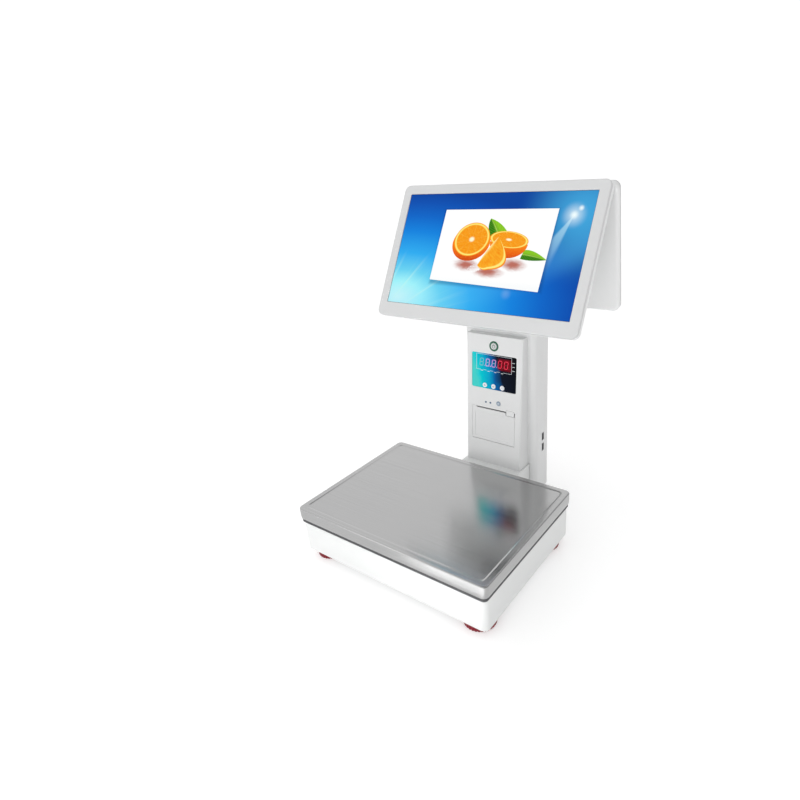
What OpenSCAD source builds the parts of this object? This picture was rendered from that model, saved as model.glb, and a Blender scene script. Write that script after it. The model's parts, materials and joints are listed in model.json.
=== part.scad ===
// Label printing scale: a weighing platform on four screw feet, a column at the back that holds
// a label printer and the weight panel, and an operator display and a customer display on top.
// +Z is up, the front faces -Y, and the origin is on the floor under the middle of the scale.

/* [Platform] */
// Width of the weighing pan
pan_w = 363; // [340:1:380]
// Depth of the weighing pan
pan_d = 266; // [258:1:272]
// Height of the pan's rim above the floor
pan_top = 94.5; // [92:0.5:98]
// Height of the pan's folded skirt
pan_skirt = 20.5; // [18:0.5:21]
// Outside corner radius of the pan, seen from above
pan_corner_r = 9; // [9:1:20]
// How far the middle of the pan is pressed down below its rim
pan_step = 0.8; // [0.4:0.1:1.2]
// Width of the pan's raised rim
pan_rim = 11; // [8:1:16]
// How far the base stands in from the pan's edge
base_inset = 3; // [2:0.5:4]
// Height of the base's lower edge above the floor
base_bottom = 13.5; // [13.5:0.1:15]
// Height of the base's deck under the pan
base_top = 67; // [66:0.5:67]
// Outside corner radius of the base
base_corner_r = 10; // [10:1:20]

/* [Feet] */
// Radius of the knurled foot disc
foot_r = 24.9; // [20:0.1:26]
// Distance of a foot's centre from the pan's edges
foot_inset = 32.5; // [29:0.1:36]
// Height of the knurled foot disc
foot_h = 10.5; // [8:0.5:10.5]
// Radius of the foot's stud
stud_r = 4; // [3:0.5:5]
// Number of grip grooves round a foot
foot_grooves = 32; // [20:2:40]

/* [Column] */
// Width of the column
column_w = 144.4; // [140:0.2:150]
// Distance from the pan's front edge to the column's front face
column_front = 352.3; // [350:0.1:354]
// Distance from the pan's front edge to the column's back face
column_back = 404; // [402:0.1:405]
// Radius of the column's front corners, seen from above
column_r = 11; // [8:0.5:11]
// Radius of the column's rear corners, seen from above
column_back_r = 4; // [3:0.5:6]
// Height of the column's lower edge above the floor
column_low = 4; // [3:0.5:8]
// Height of the top of the column
column_top = 396; // [394:1:398]

/* [Front panel] */
// Width of the front panel
fascia_w = 114; // [112:0.5:118]
// Distance from the pan's front edge to the front panel, at its middle height
fascia_y = 328.4; // [327:0.1:330]
// Angle by which the front panel leans back
fascia_lean = 4.4; // [3:0.1:6]
// Height of the top of the front panel
fascia_top = 314.7; // [312:0.1:318]
// Width of the black weight panel
panel_w = 91.4; // [86:0.2:94]
// Height of the black weight panel
panel_h = 65.4; // [60:0.2:68]
// Spacing of the three round keys
key_pitch = 18.1; // [16:0.1:20]
// Radius of a round key
key_r = 4.3; // [4:0.05:5]

/* [Label printer] */
// Width of the printer door
door_w = 89.2; // [88:0.2:92]
// Height of the printer door
door_h = 65.1; // [64:0.1:66]
// Sideways offset of the label path from the middle
paper_x = -5; // [-6:0.5:-4]
// Width of the label roll
roll_w = 56; // [50:1:57]
// Radius of a full label roll
roll_r = 25; // [20:0.5:25.5]
// Radius of the rubber platen roller
platen_r = 6; // [5:0.1:6]
// Teeth on the platen gear
platen_teeth = 18; // [18:1:18]
// Teeth on the drive gear
drive_teeth = 30; // [30:1:30]
// Module of both gears
gear_module = 0.6; // [0.6:0.1:0.6]

/* [Displays] */
// Width of both display housings
head_w = 378.7; // [374:0.1:384]
// Height of the operator display, measured along its face
front_h = 235.4; // [232:0.2:238]
// Width of the operator display's picture, 15.6 inch across its corners
picture_w = 344.2; // [344.2:0.1:344.2]
// Height of the operator display's picture
picture_h = 193.6; // [193.6:0.1:193.6]
// Distance from the picture's middle down to the housing's middle
picture_drop = 3.9; // [3:0.1:5]
// Angle by which the operator display leans back
front_lean = 28.7; // [27:0.1:29]
// Height of the customer display, measured along its face
rear_h = 205.7; // [200:0.1:208]
// Angle by which the customer display leans back
rear_lean = 10.2; // [9:0.1:11]
// Width of the customer display's picture, 14 inch across its corners
rear_picture_w = 309.9; // [309.9:0.1:309.9]
// Height of the customer display's picture
rear_picture_h = 174.3; // [174.3:0.1:174.3]
// Outside corner radius of both displays
head_r = 11; // [8:0.5:14]

/* [Hidden] */
$fn = 48;

// The pan's front edge and the back of the customer display stand equally far from the origin.
overall_d = 431.2;
y0 = -overall_d / 2;
pan_mid = y0 + pan_d / 2;

// Platform
sheet_t = 1.2;
skirt_wall = 2.4;
pan_bottom = pan_top - pan_skirt;
pan_under = pan_top - pan_step - sheet_t;
base_w = pan_w - 2 * base_inset;
base_d = pan_d - 2 * base_inset;
base_wall = 3.5;
base_rim = 8;
deck_t = 3;
plate_t = 3;
plate_top = base_bottom + plate_t;
cell_w = 38;
cell_l = 130;
cell_h = 26;
cell_z = plate_top + 5;
arm_x = 140;
arm_y = 95;
arm_z = 72;
arm_h = 12;
arm_reach = 206;
ring_w = 12;
ring_z = base_top + 1.5;
ring_h = pan_bottom - 0.4 - ring_z;
ring_inset = 1.8;
foot_hub = 2;
neck_half = 60;
neck_gap = 0.3;
foot_x = pan_w / 2 - foot_inset;
foot_front_y = y0 + foot_inset;
foot_rear_y = y0 + pan_d - foot_inset;

// Column
column_wall = 2.5;
cap_t = 2.5;
column_d = column_back - column_front;
column_mid = y0 + (column_front + column_back) / 2;
neck_end = y0 + column_front + column_wall + 1;
frame_x = 64.5;
frame_y = y0 + 358;
frame_d = 40;
frame_t = 2.5;
cover_half = 61.7;
cover_z = [base_top + 2, column_top - 5];
cover_screw_z = [90, 232, 376];
usb_y = y0 + 383;
usb_z = [92.5, 114.5];
usb_size = [12, 6.6, 14.6];
inlet_z = 90;

// Hinges of the two displays, as [y, z]
front_axis = [y0 + 345, 440];
rear_axis = [y0 + 386, 440];
front_pin_r = 5;
rear_pin_r = 4;
running_gap = 0.05;
ear_x = 50;
arm_ear_x = 40;
ear_t = 4;

// Front panel: heights below are measured up the leaning face from its middle height
face_mid = 200;
face_t = 3;
face_low = base_top;
power_z = 96.2;
power_r = 6;
ring_r = 9.2;
panel_mid = 48.2;
key_z = 21.6;
led_z = -10.8;
led_x = [-15.6, -6];
feed_pos = [10.9, -9.3];
feed_r = 4.2;
door_top = -22.2;
door_bottom = door_top - door_h;
door_gap = 0.4;
door_pin_r = 1;
door_axis = [face_t / 2, door_bottom + face_t / 2];
slot_x = [-36, 26];
slot_h = 2;
hook_h = 6.5;
latch_x = [27.3, 43.1];
latch_z = [-29.1, -19.3];

// Label printer
platen_pos = [14, -31];
platen_half = roll_w / 2 + 0.5;
platen_pin_r = 2.5;
gear_gap = gear_module * (platen_teeth + drive_teeth) / 2;
gear_x = -41.5;
gear_w = 4;
roll_y = y0 + 366;
roll_z = 143;
core_r = 12.7;
spindle_r = 12.3;
chassis_in = 46;
chassis_out = 48.5;

// Displays
picture_mid = [y0 + 308.2, 464.2];
rear_mid_z = 458.75;
rear_mid_y = y0 + 405.85 + (500 - rear_mid_z) * tan(rear_lean);
bezel_t = 5;
front_t = 16;
bulge_t = 30;
rear_t = 14;
shell_wall = 2.5;
glass_y = 1.3;

// Hinge axes in the displays' own frames, as [depth, height]
front_local = [
  (front_axis[0] - picture_mid[0]) * cos(front_lean) - (front_axis[1] - picture_mid[1]) * sin(front_lean),
  (front_axis[0] - picture_mid[0]) * sin(front_lean) + (front_axis[1] - picture_mid[1]) * cos(front_lean)];
rear_local = [
  (rear_mid_y - rear_axis[0]) * cos(rear_lean) + (rear_mid_z - rear_axis[1]) * sin(rear_lean),
  (rear_mid_y - rear_axis[0]) * sin(rear_lean) - (rear_mid_z - rear_axis[1]) * cos(rear_lean)];

// ---- Shapes used by several pieces ----

// Rounded rectangle in the plane, centred
module rounded_rect(w, d, r) {
  square([w - 2 * r, d], center = true);
  square([w, d - 2 * r], center = true);
  for (sx = [-1, 1], sy = [-1, 1])
    translate([sx * (w / 2 - r), sy * (d / 2 - r)]) circle(r);
}

// Upright prism with rounded corners, standing on z = 0
module rounded_prism(w, d, h, r) linear_extrude(h) rounded_rect(w, d, r);

// Box with rounded corners whose sides follow levels, a list of [height, inset]
module lofted_box(w, d, r, levels) {
  hull()
    for (i = [0:len(levels) - 2], sx = [-1, 1], sy = [-1, 1])
      translate([sx * (w / 2 - r), sy * (d / 2 - r), levels[i][0]])
        cylinder(h = levels[i + 1][0] - levels[i][0],
                 r1 = r - levels[i][1], r2 = r - levels[i + 1][1], $fn = 32);
}

// Levels of a quarter-round edge of radius r that ends at height h, or starts there
function round_end(h, r, n = 4) =
  [for (i = [0:n]) let (a = 90 * i / n) [h - r + r * sin(a), r - r * cos(a)]];
function round_start(h, r, n = 4) =
  [for (i = [0:n]) let (a = 90 * i / n) [h + r - r * cos(a), r - r * sin(a)]];

// Box between two corners
module span(lo, hi) translate(lo) cube(hi - lo);

// Round bar along X, through the point [y, z]
module x_bar(r, x_lo, x_hi, at)
  translate([x_lo, at[0], at[1]]) rotate([0, 90, 0]) cylinder(r = r, h = x_hi - x_lo);

// Round bar along Y, through the point [x, z]
module y_bar(r, y_lo, y_hi, at)
  translate([at[0], y_lo, at[1]]) rotate([-90, 0, 0]) cylinder(r = r, h = y_hi - y_lo);

// Flat plate between two x values, with an outline given as [y, z] points
module x_plate(x_lo, x_hi, outline)
  translate([x_lo, 0, 0]) rotate([90, 0, 90]) linear_extrude(x_hi - x_lo) polygon(outline);

// Frame of the front panel: y goes into the panel and z up its face
module on_face() translate([0, y0 + fascia_y, face_mid]) rotate([-fascia_lean, 0, 0]) children();

// Frame of the operator display: y goes into the housing and z up its face
module on_front() translate([0, picture_mid[0], picture_mid[1]]) rotate([-front_lean, 0, 0]) children();

// Frame of the customer display: y goes into the housing and z up its face
module on_rear() translate([0, rear_mid_y, rear_mid_z]) rotate([-rear_lean, 0, 180]) children();

// Display housing part: a lofted box whose levels run along +y
module panel_loft(w, h, r, levels) rotate([-90, 0, 0]) lofted_box(w, h, r, levels);

// Rounded plate standing upright between two y values, centred on x = 0 and z = 0
module upright_plate(w, h, y_lo, y_hi, r)
  translate([0, y_hi, 0]) rotate([90, 0, 0]) rounded_prism(w, h, y_hi - y_lo, r);

// Pan-head screw pointing along -z, its head's underside on z = 0
module screw(head_r, head_h, r, l) {
  difference() {
    cylinder(r = head_r, h = head_h);
    for (a = [0, 90])
      rotate([0, 0, a]) translate([-head_r * 0.6, -0.4, head_h * 0.4]) cube([head_r * 1.2, 0.8, head_h]);
  }
  translate([0, 0, -l]) cylinder(r = r, h = l + 0.1);
}

// Points of an involute gear of n teeth; play thins every tooth a little
function involute_at(base, a) =
  [base * (cos(a) + a * PI / 180 * sin(a)), base * (sin(a) - a * PI / 180 * cos(a))];
function turn(p, a) = [p[0] * cos(a) - p[1] * sin(a), p[0] * sin(a) + p[1] * cos(a)];
function gear_points(n, m, play) =
  let (pitch = m * n / 2, base = pitch * cos(20), tip = pitch + m, root = pitch - 1.2 * m,
       roll_tip = sqrt(pow(tip / base, 2) - 1) * 180 / PI,
       roll_pitch = tan(20) * 180 / PI, lean = roll_pitch - 20,
       half = 90 / n - play / pitch * 90 / PI + lean, steps = 5)
  [for (k = [0:n - 1]) each concat(
    [turn([root, 0], 360 * k / n - half)],
    [for (i = [0:steps]) turn(involute_at(base, roll_tip * i / steps), 360 * k / n - half)],
    [for (i = [steps:-1:0])
      let (p = involute_at(base, roll_tip * i / steps)) turn([p[0], -p[1]], 360 * k / n + half)],
    [turn([root, 0], 360 * k / n + half)])];

// Gear along X with a bore, its tooth 0 turned by phase
module gear(n, bore, phase) {
  translate([gear_x, 0, 0]) rotate([90, 0, 90]) difference() {
    linear_extrude(gear_w) rotate(phase) polygon(gear_points(n, gear_module, 0.12));
    translate([0, 0, -1]) cylinder(r = bore, h = gear_w + 2);
  }
}

// ---- Platform ----

// Puts its children at the four feet
module at_feet() {
  for (sx = [-1, 1], y = [foot_front_y, foot_rear_y])
    translate([sx * foot_x, y, 0]) children();
}

// White base housing: the wide tray under the pan and the neck that reaches into the column
module base_housing() color("whitesmoke") difference() {
  union() {
    translate([0, pan_mid, 0])
      lofted_box(base_w, base_d, base_corner_r,
                 concat(round_start(base_bottom, 2, 3), round_end(base_top, 1.5, 2)));
    span([-neck_half, pan_mid, base_bottom], [neck_half, neck_end, base_top]);
  }
  translate([0, pan_mid, base_bottom - 1])
    rounded_prism(base_w - 2 * base_rim, base_d - 2 * base_rim, 8, base_corner_r - base_rim);
  translate([0, pan_mid, base_bottom + 6])
    rounded_prism(base_w - 2 * base_wall, base_d - 2 * base_wall, base_top - deck_t - base_bottom - 6,
                  base_corner_r - base_wall);
  span([-neck_half + base_wall, pan_mid, base_bottom - 1],
       [neck_half - base_wall, neck_end + 1, base_top - deck_t]);
  span([-53, y0 + 326, base_top - deck_t - 1], [53, neck_end + 1, base_top + 1]);
  span([-30, pan_mid + 28, base_top - deck_t - 1], [30, pan_mid + 72, base_top + 1]);
}

// Steel bottom plate with the load cell's seat and a threaded boss for each foot
module base_plate() color("silver") difference() {
  union() {
    translate([0, pan_mid, base_bottom])
      rounded_prism(base_w - 2 * base_rim - 0.6, base_d - 2 * base_rim - 0.6, plate_t,
                    base_corner_r - base_rim);
    span([-neck_half + base_wall + neck_gap, pan_mid, base_bottom],
         [neck_half - base_wall - neck_gap, frame_y + 8, plate_top]);
    span([-column_w / 2 + 3.3, frame_y + 7, base_bottom],
         [column_w / 2 - 3.3, y0 + column_back - column_wall - 0.3, plate_top]);
    span([-cell_w / 2, pan_mid - cell_l / 2, plate_top - 0.1],
         [cell_w / 2, pan_mid - cell_l / 2 + 34, cell_z]);
    at_feet() translate([0, 0, plate_top - 0.1]) cylinder(r = 9, h = 20);
  }
  at_feet() translate([0, 0, base_bottom - 1]) cylinder(r = stud_r + running_gap, h = 40);
}

// Single-point aluminium load cell with its two joined bending holes
module load_cell() color("lightsteelblue") translate([0, pan_mid, cell_z]) difference() {
  span([-cell_w / 2, -cell_l / 2, 0], [cell_w / 2, cell_l / 2, cell_h]);
  for (sy = [-1, 1]) x_bar(9, -cell_w, cell_w, [sy * 15, cell_h / 2]);
  span([-cell_w, -15, cell_h / 2 - 3], [cell_w, 15, cell_h / 2 + 3]);
  for (sx = [-1, 1], sy = [-1, 1], y = [-55, -41, 41, 55])
    translate([sx * 10, y, -1]) cylinder(r = 3, h = cell_h + 2);
}

// Four bolts that hold the cell to its seat, and four that hold the pan support to the cell
module load_cell_bolts() color("dimgray") {
  for (sx = [-1, 1], y = [-55, -41]) {
    translate([sx * 10, pan_mid + y, cell_z + cell_h]) cylinder(r = 5, h = 5);
    translate([sx * 10, pan_mid + y, cell_z]) cylinder(r = 3, h = cell_h + 1);
  }
  for (sx = [-1, 1], y = [41, 55])
    translate([sx * 10, pan_mid + y, cell_z]) cylinder(r = 3, h = cell_h);
}

// Cast support under the pan: a post on the load cell, a middle plate, four arms and a ring
// whose edge shows as a dark line under the pan's skirt
module pan_support() color("darkgray") translate([0, pan_mid, 0]) {
  span([-cell_w / 2, 33, cell_z + cell_h], [cell_w / 2, 65, arm_z + 1]);
  translate([0, 0, arm_z]) rounded_prism(130, 140, arm_h, 12);
  for (sx = [-1, 1], sy = [-1, 1])
    translate([0, 0, arm_z]) linear_extrude(arm_h) {
      translate([sx * arm_x, sy * arm_y]) circle(13);
      rotate(atan2(sy * arm_y, sx * arm_x)) translate([0, -9]) square([arm_reach, 18]);
    }
  translate([0, 0, ring_z]) linear_extrude(ring_h) difference() {
    support_outline(ring_inset);
    support_outline(ring_inset + ring_w);
  }
}

// Outline of the pan, shrunk all round
module support_outline(shrink)
  rounded_rect(pan_w - 2 * shrink, pan_d - 2 * shrink, max(pan_corner_r - shrink, 2));

// Rubber buffers that the pan rests on
module pan_buffers() color("dimgray")
  for (sx = [-1, 1], sy = [-1, 1])
    translate([sx * arm_x, pan_mid + sy * arm_y, arm_z + arm_h])
      cylinder(r = 10, h = pan_under - arm_z - arm_h);

// Stainless pan: one sheet with a pressed middle, a folded edge and a skirt
module weighing_pan() color("silver") translate([0, pan_mid, 0]) difference() {
  lofted_box(pan_w, pan_d, pan_corner_r, concat(
    [[pan_bottom, 1.2], [pan_bottom + 1.5, 0.5], [pan_bottom + 4, 0.2], [pan_bottom + 8, 0]],
    round_end(pan_top, 2.6, 5)));
  translate([0, 0, pan_bottom - 1])
    rounded_prism(pan_w - 2 * skirt_wall, pan_d - 2 * skirt_wall, pan_under - pan_bottom + 1,
                  pan_corner_r - skirt_wall);
  translate([0, 0, pan_top - pan_step])
    rounded_prism(pan_w - 2 * pan_rim, pan_d - 2 * pan_rim, 5, pan_corner_r - 6);
}

// Round spirit level on the deck, read with the pan lifted off
module level_vial() color("palegreen") translate([120, pan_mid - 20, base_top]) difference() {
  cylinder(r = 9, h = 8);
  translate([0, 0, 6.8]) cylinder(r = 6.5, h = 2);
}

// Weighing amplifier board on its posts
module scale_board() color("seagreen") translate([60, pan_mid - 25, plate_top]) {
  translate([0, 0, 6]) cube([70, 50, 1.6]);
  for (x = [5, 65], y = [5, 45]) translate([x, y, 0]) cylinder(r = 2.5, h = 6.2);
  translate([20, 15, 7.5]) cube([14, 14, 2]);
  translate([45, 8, 7.5]) cube([16, 10, 8]);
}

// Screws that hold the bottom plate to the base housing
module base_screws() color("dimgray")
  for (sx = [-1, 1], y = [pan_mid - 60, pan_mid + 60])
    translate([sx * (base_w / 2 - base_rim - 14), y, base_bottom]) rotate([180, 0, 0]) screw(3, 1.6, 1.5, 8);

// Knurled red foot disc
module foot(sx, y) color("firebrick") translate([sx * foot_x, y, 0]) {
  linear_extrude(foot_h) difference() {
    circle(foot_r);
    for (i = [0:foot_grooves - 1])
      rotate(360 * i / foot_grooves) translate([foot_r + 0.35, 0]) circle(1.3, $fn = 16);
  }
  translate([0, 0, foot_h - 0.1]) cylinder(r = 10, h = foot_hub + 0.1);
}

// Threaded stud of a foot
module stud(sx, y) color("silver")
  translate([sx * foot_x, y, foot_h + foot_hub]) cylinder(r = stud_r, h = 26);

module foot_front_left() foot(-1, foot_front_y);
module foot_front_right() foot(1, foot_front_y);
module foot_rear_left() foot(-1, foot_rear_y);
module foot_rear_right() foot(1, foot_rear_y);
module stud_front_left() stud(-1, foot_front_y);
module stud_front_right() stud(1, foot_front_y);
module stud_rear_left() stud(-1, foot_rear_y);
module stud_rear_right() stud(1, foot_rear_y);

// ---- Column ----

// Folded steel frame inside the column: two rails, a foot flange and a top plate
module column_frame() color("lightgray") difference() {
  union() {
    for (s = [-1, 1])
      span([s > 0 ? frame_x - frame_t : -frame_x, frame_y, plate_top],
           [s > 0 ? frame_x : -frame_x + frame_t, frame_y + frame_d, column_top - 5]);
    span([-frame_x, frame_y, column_top - 8], [frame_x, frame_y + frame_d, column_top - 5]);
    for (s = [-1, 1])
      span([s > 0 ? frame_x - 20 : -frame_x, frame_y, plate_top],
           [s > 0 ? frame_x : -frame_x + 20, frame_y + frame_d, plate_top + 3]);
  }
  span([frame_x - 5, usb_y - 6, usb_z[0] - 12], [frame_x + 1, usb_y + 6, usb_z[1] + 12]);
}

// Outline of the column, shrunk by a wall; the rear corners are tighter than the front ones
module column_outline(wall) {
  translate([0, column_mid])
    rounded_rect(column_w - 2 * wall, column_d - 2 * wall, column_r - wall);
  translate([0, y0 + column_back - column_r])
    rounded_rect(column_w - 2 * wall, 2 * (column_r - wall), column_back_r - wall);
}

// White column shell down to the floor: open behind the front panel, at the neck and at the back
module column_shell() color("white") difference() {
  translate([0, 0, column_low]) linear_extrude(column_top - cap_t - column_low) column_outline(0);
  translate([0, 0, column_low - 1]) linear_extrude(column_top) column_outline(column_wall);
  span([-neck_half - neck_gap, y0 + column_front - 1, column_low - 1],
       [neck_half + neck_gap, y0 + column_front + 5, base_top + neck_gap]);
  span([-cover_half - 0.3, y0 + column_back - 5, cover_z[0] - 0.3],
       [cover_half + 0.3, y0 + column_back + 1, cover_z[1] + 0.3]);
  span([-53, y0 + column_front - 1, base_top - 1], [53, y0 + column_front + 5, fascia_top - 4]);
  for (z = usb_z)
    span([column_w / 2 - 5, usb_y - usb_size[1] / 2 - 0.2, z - usb_size[2] / 2 - 0.2],
         [column_w / 2 + 1, usb_y + usb_size[1] / 2 + 0.2, z + usb_size[2] / 2 + 0.2]);
}

// Screwed cover at the column's back, with cooling slots and the hole for the power inlet
module column_rear_cover() color("white") difference() {
  span([-cover_half, y0 + column_back - column_wall, cover_z[0]], [cover_half, y0 + column_back, cover_z[1]]);
  for (i = [0:8]) translate([-30, y0 + column_back - 4, 250 + i * 7]) cube([60, 6, 2.6]);
  translate([0, y0 + column_back - 5, inlet_z]) rotate([-90, 0, 0]) rounded_prism(27.4, 19.4, 8, 2);
  for (sx = [-1, 1], z = cover_screw_z)
    y_bar(1.6, y0 + column_back - 4, y0 + column_back + 1, [sx * 54, z]);
}

// Lid on the column, slotted for the display bracket's ears
module column_top_cap() color("white") difference() {
  translate([0, 0, column_top - cap_t]) linear_extrude(cap_t) column_outline(0);
  for (s = [-1, 1])
    span([s > 0 ? ear_x - 0.5 : -ear_x - ear_t - 0.5, frame_y - 3, column_top - 5],
         [s > 0 ? ear_x + ear_t + 0.5 : -ear_x + 0.5, frame_y + frame_d + 1, column_top + 1]);
}

// Screws of the rear cover
module column_screws() color("dimgray")
  for (sx = [-1, 1], z = cover_screw_z)
    translate([sx * 54, y0 + column_back, z]) rotate([-90, 0, 0]) screw(3, 1.5, 1.5, 7);

// Two upright socket shells with their tongues, in the column's right side
module usb_ports() color("gray")
  for (z = usb_z)
    translate([column_w / 2 + 0.3 - usb_size[0], usb_y, z]) {
      difference() {
        translate([0, -usb_size[1] / 2, -usb_size[2] / 2]) cube(usb_size);
        translate([1, -usb_size[1] / 2 + 0.5, -usb_size[2] / 2 + 0.5])
          cube([usb_size[0], usb_size[1] - 1, usb_size[2] - 1]);
      }
      translate([0.5, -0.9, -5.6]) cube([10, 1.8, 11.2]);
    }

// Mains inlet: flange, socket and three pins
module power_inlet() color("dimgray") translate([0, y0 + column_back, inlet_z]) rotate([-90, 0, 0]) {
  difference() {
    union() {
      rounded_prism(31, 23, 2, 3);
      translate([0, 0, -17]) rounded_prism(27, 19, 18, 2);
    }
    translate([0, 0, -15]) rounded_prism(24.2, 16.4, 18, 1.5);
  }
  for (p = [[-7, 1], [0, -3], [7, 1]]) translate([p[0] - 1, p[1] - 2, -16]) cube([2, 4, 14]);
}

// Power supply module in the neck
module power_supply() color("gold") translate([-40, y0 + 276, plate_top]) cube([80, 62, 34]);

// Steel bracket on the column frame; its two ears hold both hinge shafts
module head_bracket() color("lightgray") {
  difference() {
    union() {
      span([-58, frame_y + 1, column_top - 5], [58, frame_y + frame_d - 1, column_top - 2.5]);
      for (x = [-ear_x - ear_t, ear_x]) {
        x_plate(x, x + ear_t, [
          [frame_y + 2, column_top - 4], [frame_y + frame_d - 2, column_top - 4],
          [rear_axis[0] + 8, rear_axis[1]], [rear_axis[0], rear_axis[1] + 8],
          [front_axis[0], front_axis[1] + 9], [front_axis[0] - 9, front_axis[1]]]);
        x_bar(9, x, x + ear_t, front_axis);
        x_bar(8, x, x + ear_t, rear_axis);
      }
    }
    x_bar(front_pin_r, -80, 80, front_axis);
    x_bar(rear_pin_r, -80, 80, rear_axis);
  }
}

// Hinge shafts of the two displays
module hinge_shafts() color("dimgray") {
  x_bar(front_pin_r, -58, 58, front_axis);
  x_bar(rear_pin_r, -58, 58, rear_axis);
}

// ---- Front panel ----

// Leaning front housing with its window, button holes, door opening and latch opening
module fascia_frame() color("white") difference() {
  fascia_block(0, face_low, fascia_top);
  fascia_block(face_t, face_low - 1, fascia_top - face_t);
  fascia_cutouts();
}

// The front housing's outline between two heights, shrunk by a wall on its front and sides
module fascia_block(wall, z_lo, z_hi) intersection() {
  on_face() translate([0, 0, -160]) linear_extrude(320) union() {
    translate([0, wall + 20]) rounded_rect(fascia_w - 2 * wall, 40, wall > 0 ? 1 : 3);
    translate([-fascia_w / 2 + wall, wall + 10]) square([fascia_w - 2 * wall, 60]);
  }
  span([-100, y0 + 250, z_lo], [100, y0 + column_front + (wall > 0 ? 1 : 0), z_hi]);
}

// Openings of the front housing
module fascia_cutouts() on_face() {
  translate([0, 0, panel_mid]) upright_plate(panel_w + 0.4, panel_h + 0.4, -1, 2.3, 3);
  translate([0, 0, panel_mid + 16.4]) upright_plate(74, 31, 0, 8, 1);
  for (i = [-1:1]) y_bar(key_r + 0.3, 0, 8, [i * key_pitch, key_z]);
  y_bar(ring_r + 0.1, -1, 8, [0, power_z]);
  y_bar(feed_r + 0.3, -1, 8, feed_pos);
  for (x = led_x) y_bar(1.9, -1, 8, [x, led_z]);
  span([-door_w / 2 - door_gap, -1, door_bottom - door_gap],
       [door_w / 2 + door_gap, 8, door_top + door_gap]);
  span([latch_x[0] - 0.3, -1, latch_z[0] - 0.3], [latch_x[1] + 0.3, 8, latch_z[1] + 0.3]);
  x_bar(door_pin_r + running_gap, -door_w / 2 - 3, door_w / 2 + 3, door_axis);
}

// Glossy black lens of the weight panel
module weight_panel() color("black") on_face() difference() {
  translate([0, 0, panel_mid]) upright_plate(panel_w, panel_h, 0.3, 2.3, 2.8);
  for (i = [-1:1]) y_bar(key_r + 0.3, -1, 8, [i * key_pitch, key_z]);
}

// Digit module and key board behind the lens
module digit_display() color("darkred") on_face() {
  translate([0, 0, panel_mid + 16.4]) upright_plate(72, 29, 2.3, 9, 1);
  translate([0, 0, panel_mid]) upright_plate(88, 62, 8.9, 10.5, 1);
  for (i = [-1:1]) y_bar(1.5, 6.9, 9, [i * key_pitch, key_z]);
}

// Round key with a collar behind the panel; it stands a little proud of the face
module round_key(r, proud, at) on_face() {
  y_bar(r, -proud, 5.8, at);
  y_bar(r + 1.2, 3.8, 5.2, at);
}

module tare_key() color("white") round_key(key_r, 0.8, [-key_pitch, key_z]);
module zero_key() color("white") round_key(key_r, 0.8, [0, key_z]);
module unit_key() color("white") round_key(key_r, 0.8, [key_pitch, key_z]);
module power_button() color("gainsboro") round_key(power_r, 1.2, [0, power_z]);
module feed_button() color("lightslategray") round_key(feed_r, 0.8, feed_pos);

// Lit ring round the power button
module power_ring() color("seagreen") on_face() difference() {
  y_bar(ring_r, -0.5, face_t, [0, power_z]);
  y_bar(power_r + 0.3, -2, 8, [0, power_z]);
}

// Status lamps above the label slot
module status_leds() color("steelblue") on_face()
  for (x = led_x) y_bar(1.9, -0.2, 5, [x, led_z]);

// Push latch of the printer door
module door_latch() color("white") on_face() {
  span([latch_x[0], -0.3, latch_z[0]], [latch_x[1], 5, latch_z[1]]);
  span([latch_x[0] + 2, 4.2, latch_z[0]], [latch_x[1] - 2, 7, latch_z[1] + 7]);
}

// Printer door, hinged at its lower edge, with the two ears that carry the platen
module printer_door() color("white") on_face() difference() {
  union() {
    span([-door_w / 2, 0, door_axis[1]], [door_w / 2, face_t, door_top]);
    x_bar(face_t / 2, -door_w / 2, door_w / 2, door_axis);
    x_bar(door_pin_r, -door_w / 2 - 2.5, door_w / 2 + 2.5, door_axis);
    for (s = [-1, 1]) {
      lo = paper_x + s * (platen_half + 1.7) - 1.2;
      x_plate(lo, lo + 2.4, [[1, -78], [platen_pos[0] + 4, platen_pos[1] - 3],
                             [platen_pos[0] + 1, platen_pos[1] + 4.8], [1, platen_pos[1] + 4.8]]);
      x_bar(5, lo, lo + 2.4, platen_pos);
    }
  }
  span([slot_x[0], -1, door_top - slot_h], [slot_x[1], 8, door_top + 1]);
  span([slot_x[1] + 0.7, -1, latch_z[0] - 0.6], [door_w / 2 + 1, 20, door_top + 1]);
  span([slot_x[1] - 0.3, -1, door_top - hook_h], [slot_x[1] + 1, 8, door_top + 1]);
  x_bar(platen_pin_r + running_gap, -60, 60, platen_pos);
  span([-door_w / 2 + 6, -1, door_bottom + 6], [door_w / 2 - 9, 0.6, door_bottom + 55]);
}

// ---- Label printer ----

// Frame round the label bay: two side walls, back, floor, roof and four fixing tabs
module printer_chassis() color("gainsboro") difference() {
  union() {
    for (x = [-chassis_out, chassis_in])
      span([x, y0 + 336, 106], [x + 2.5, y0 + 398, 188.5]);
    span([-chassis_out, y0 + 395.5, 106], [chassis_out, y0 + 398, 188.5]);
    span([-chassis_out, y0 + 336, 106], [chassis_out, y0 + 398, 108.5]);
    span([-chassis_out, y0 + 346, 186], [chassis_out, y0 + 398, 188.5]);
    for (s = [-1, 1], z = [130, 176])
      span([s > 0 ? chassis_out - 1 : -frame_x + frame_t, y0 + 388, z],
           [s > 0 ? frame_x - frame_t : -chassis_out + 1, y0 + 391, z + 8]);
  }
  on_face() x_bar(8, -60, -30, [platen_pos[0] + gear_gap, platen_pos[1]]);
  on_face() x_bar(4, -60, -30, platen_pos);
}

// Thermal print head, from the roof down to the platen
module thermal_head() color("goldenrod")
  span([paper_x - roll_w / 2, y0 + 346.2, 163.5], [paper_x + roll_w / 2, y0 + 350, 186]);

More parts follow.
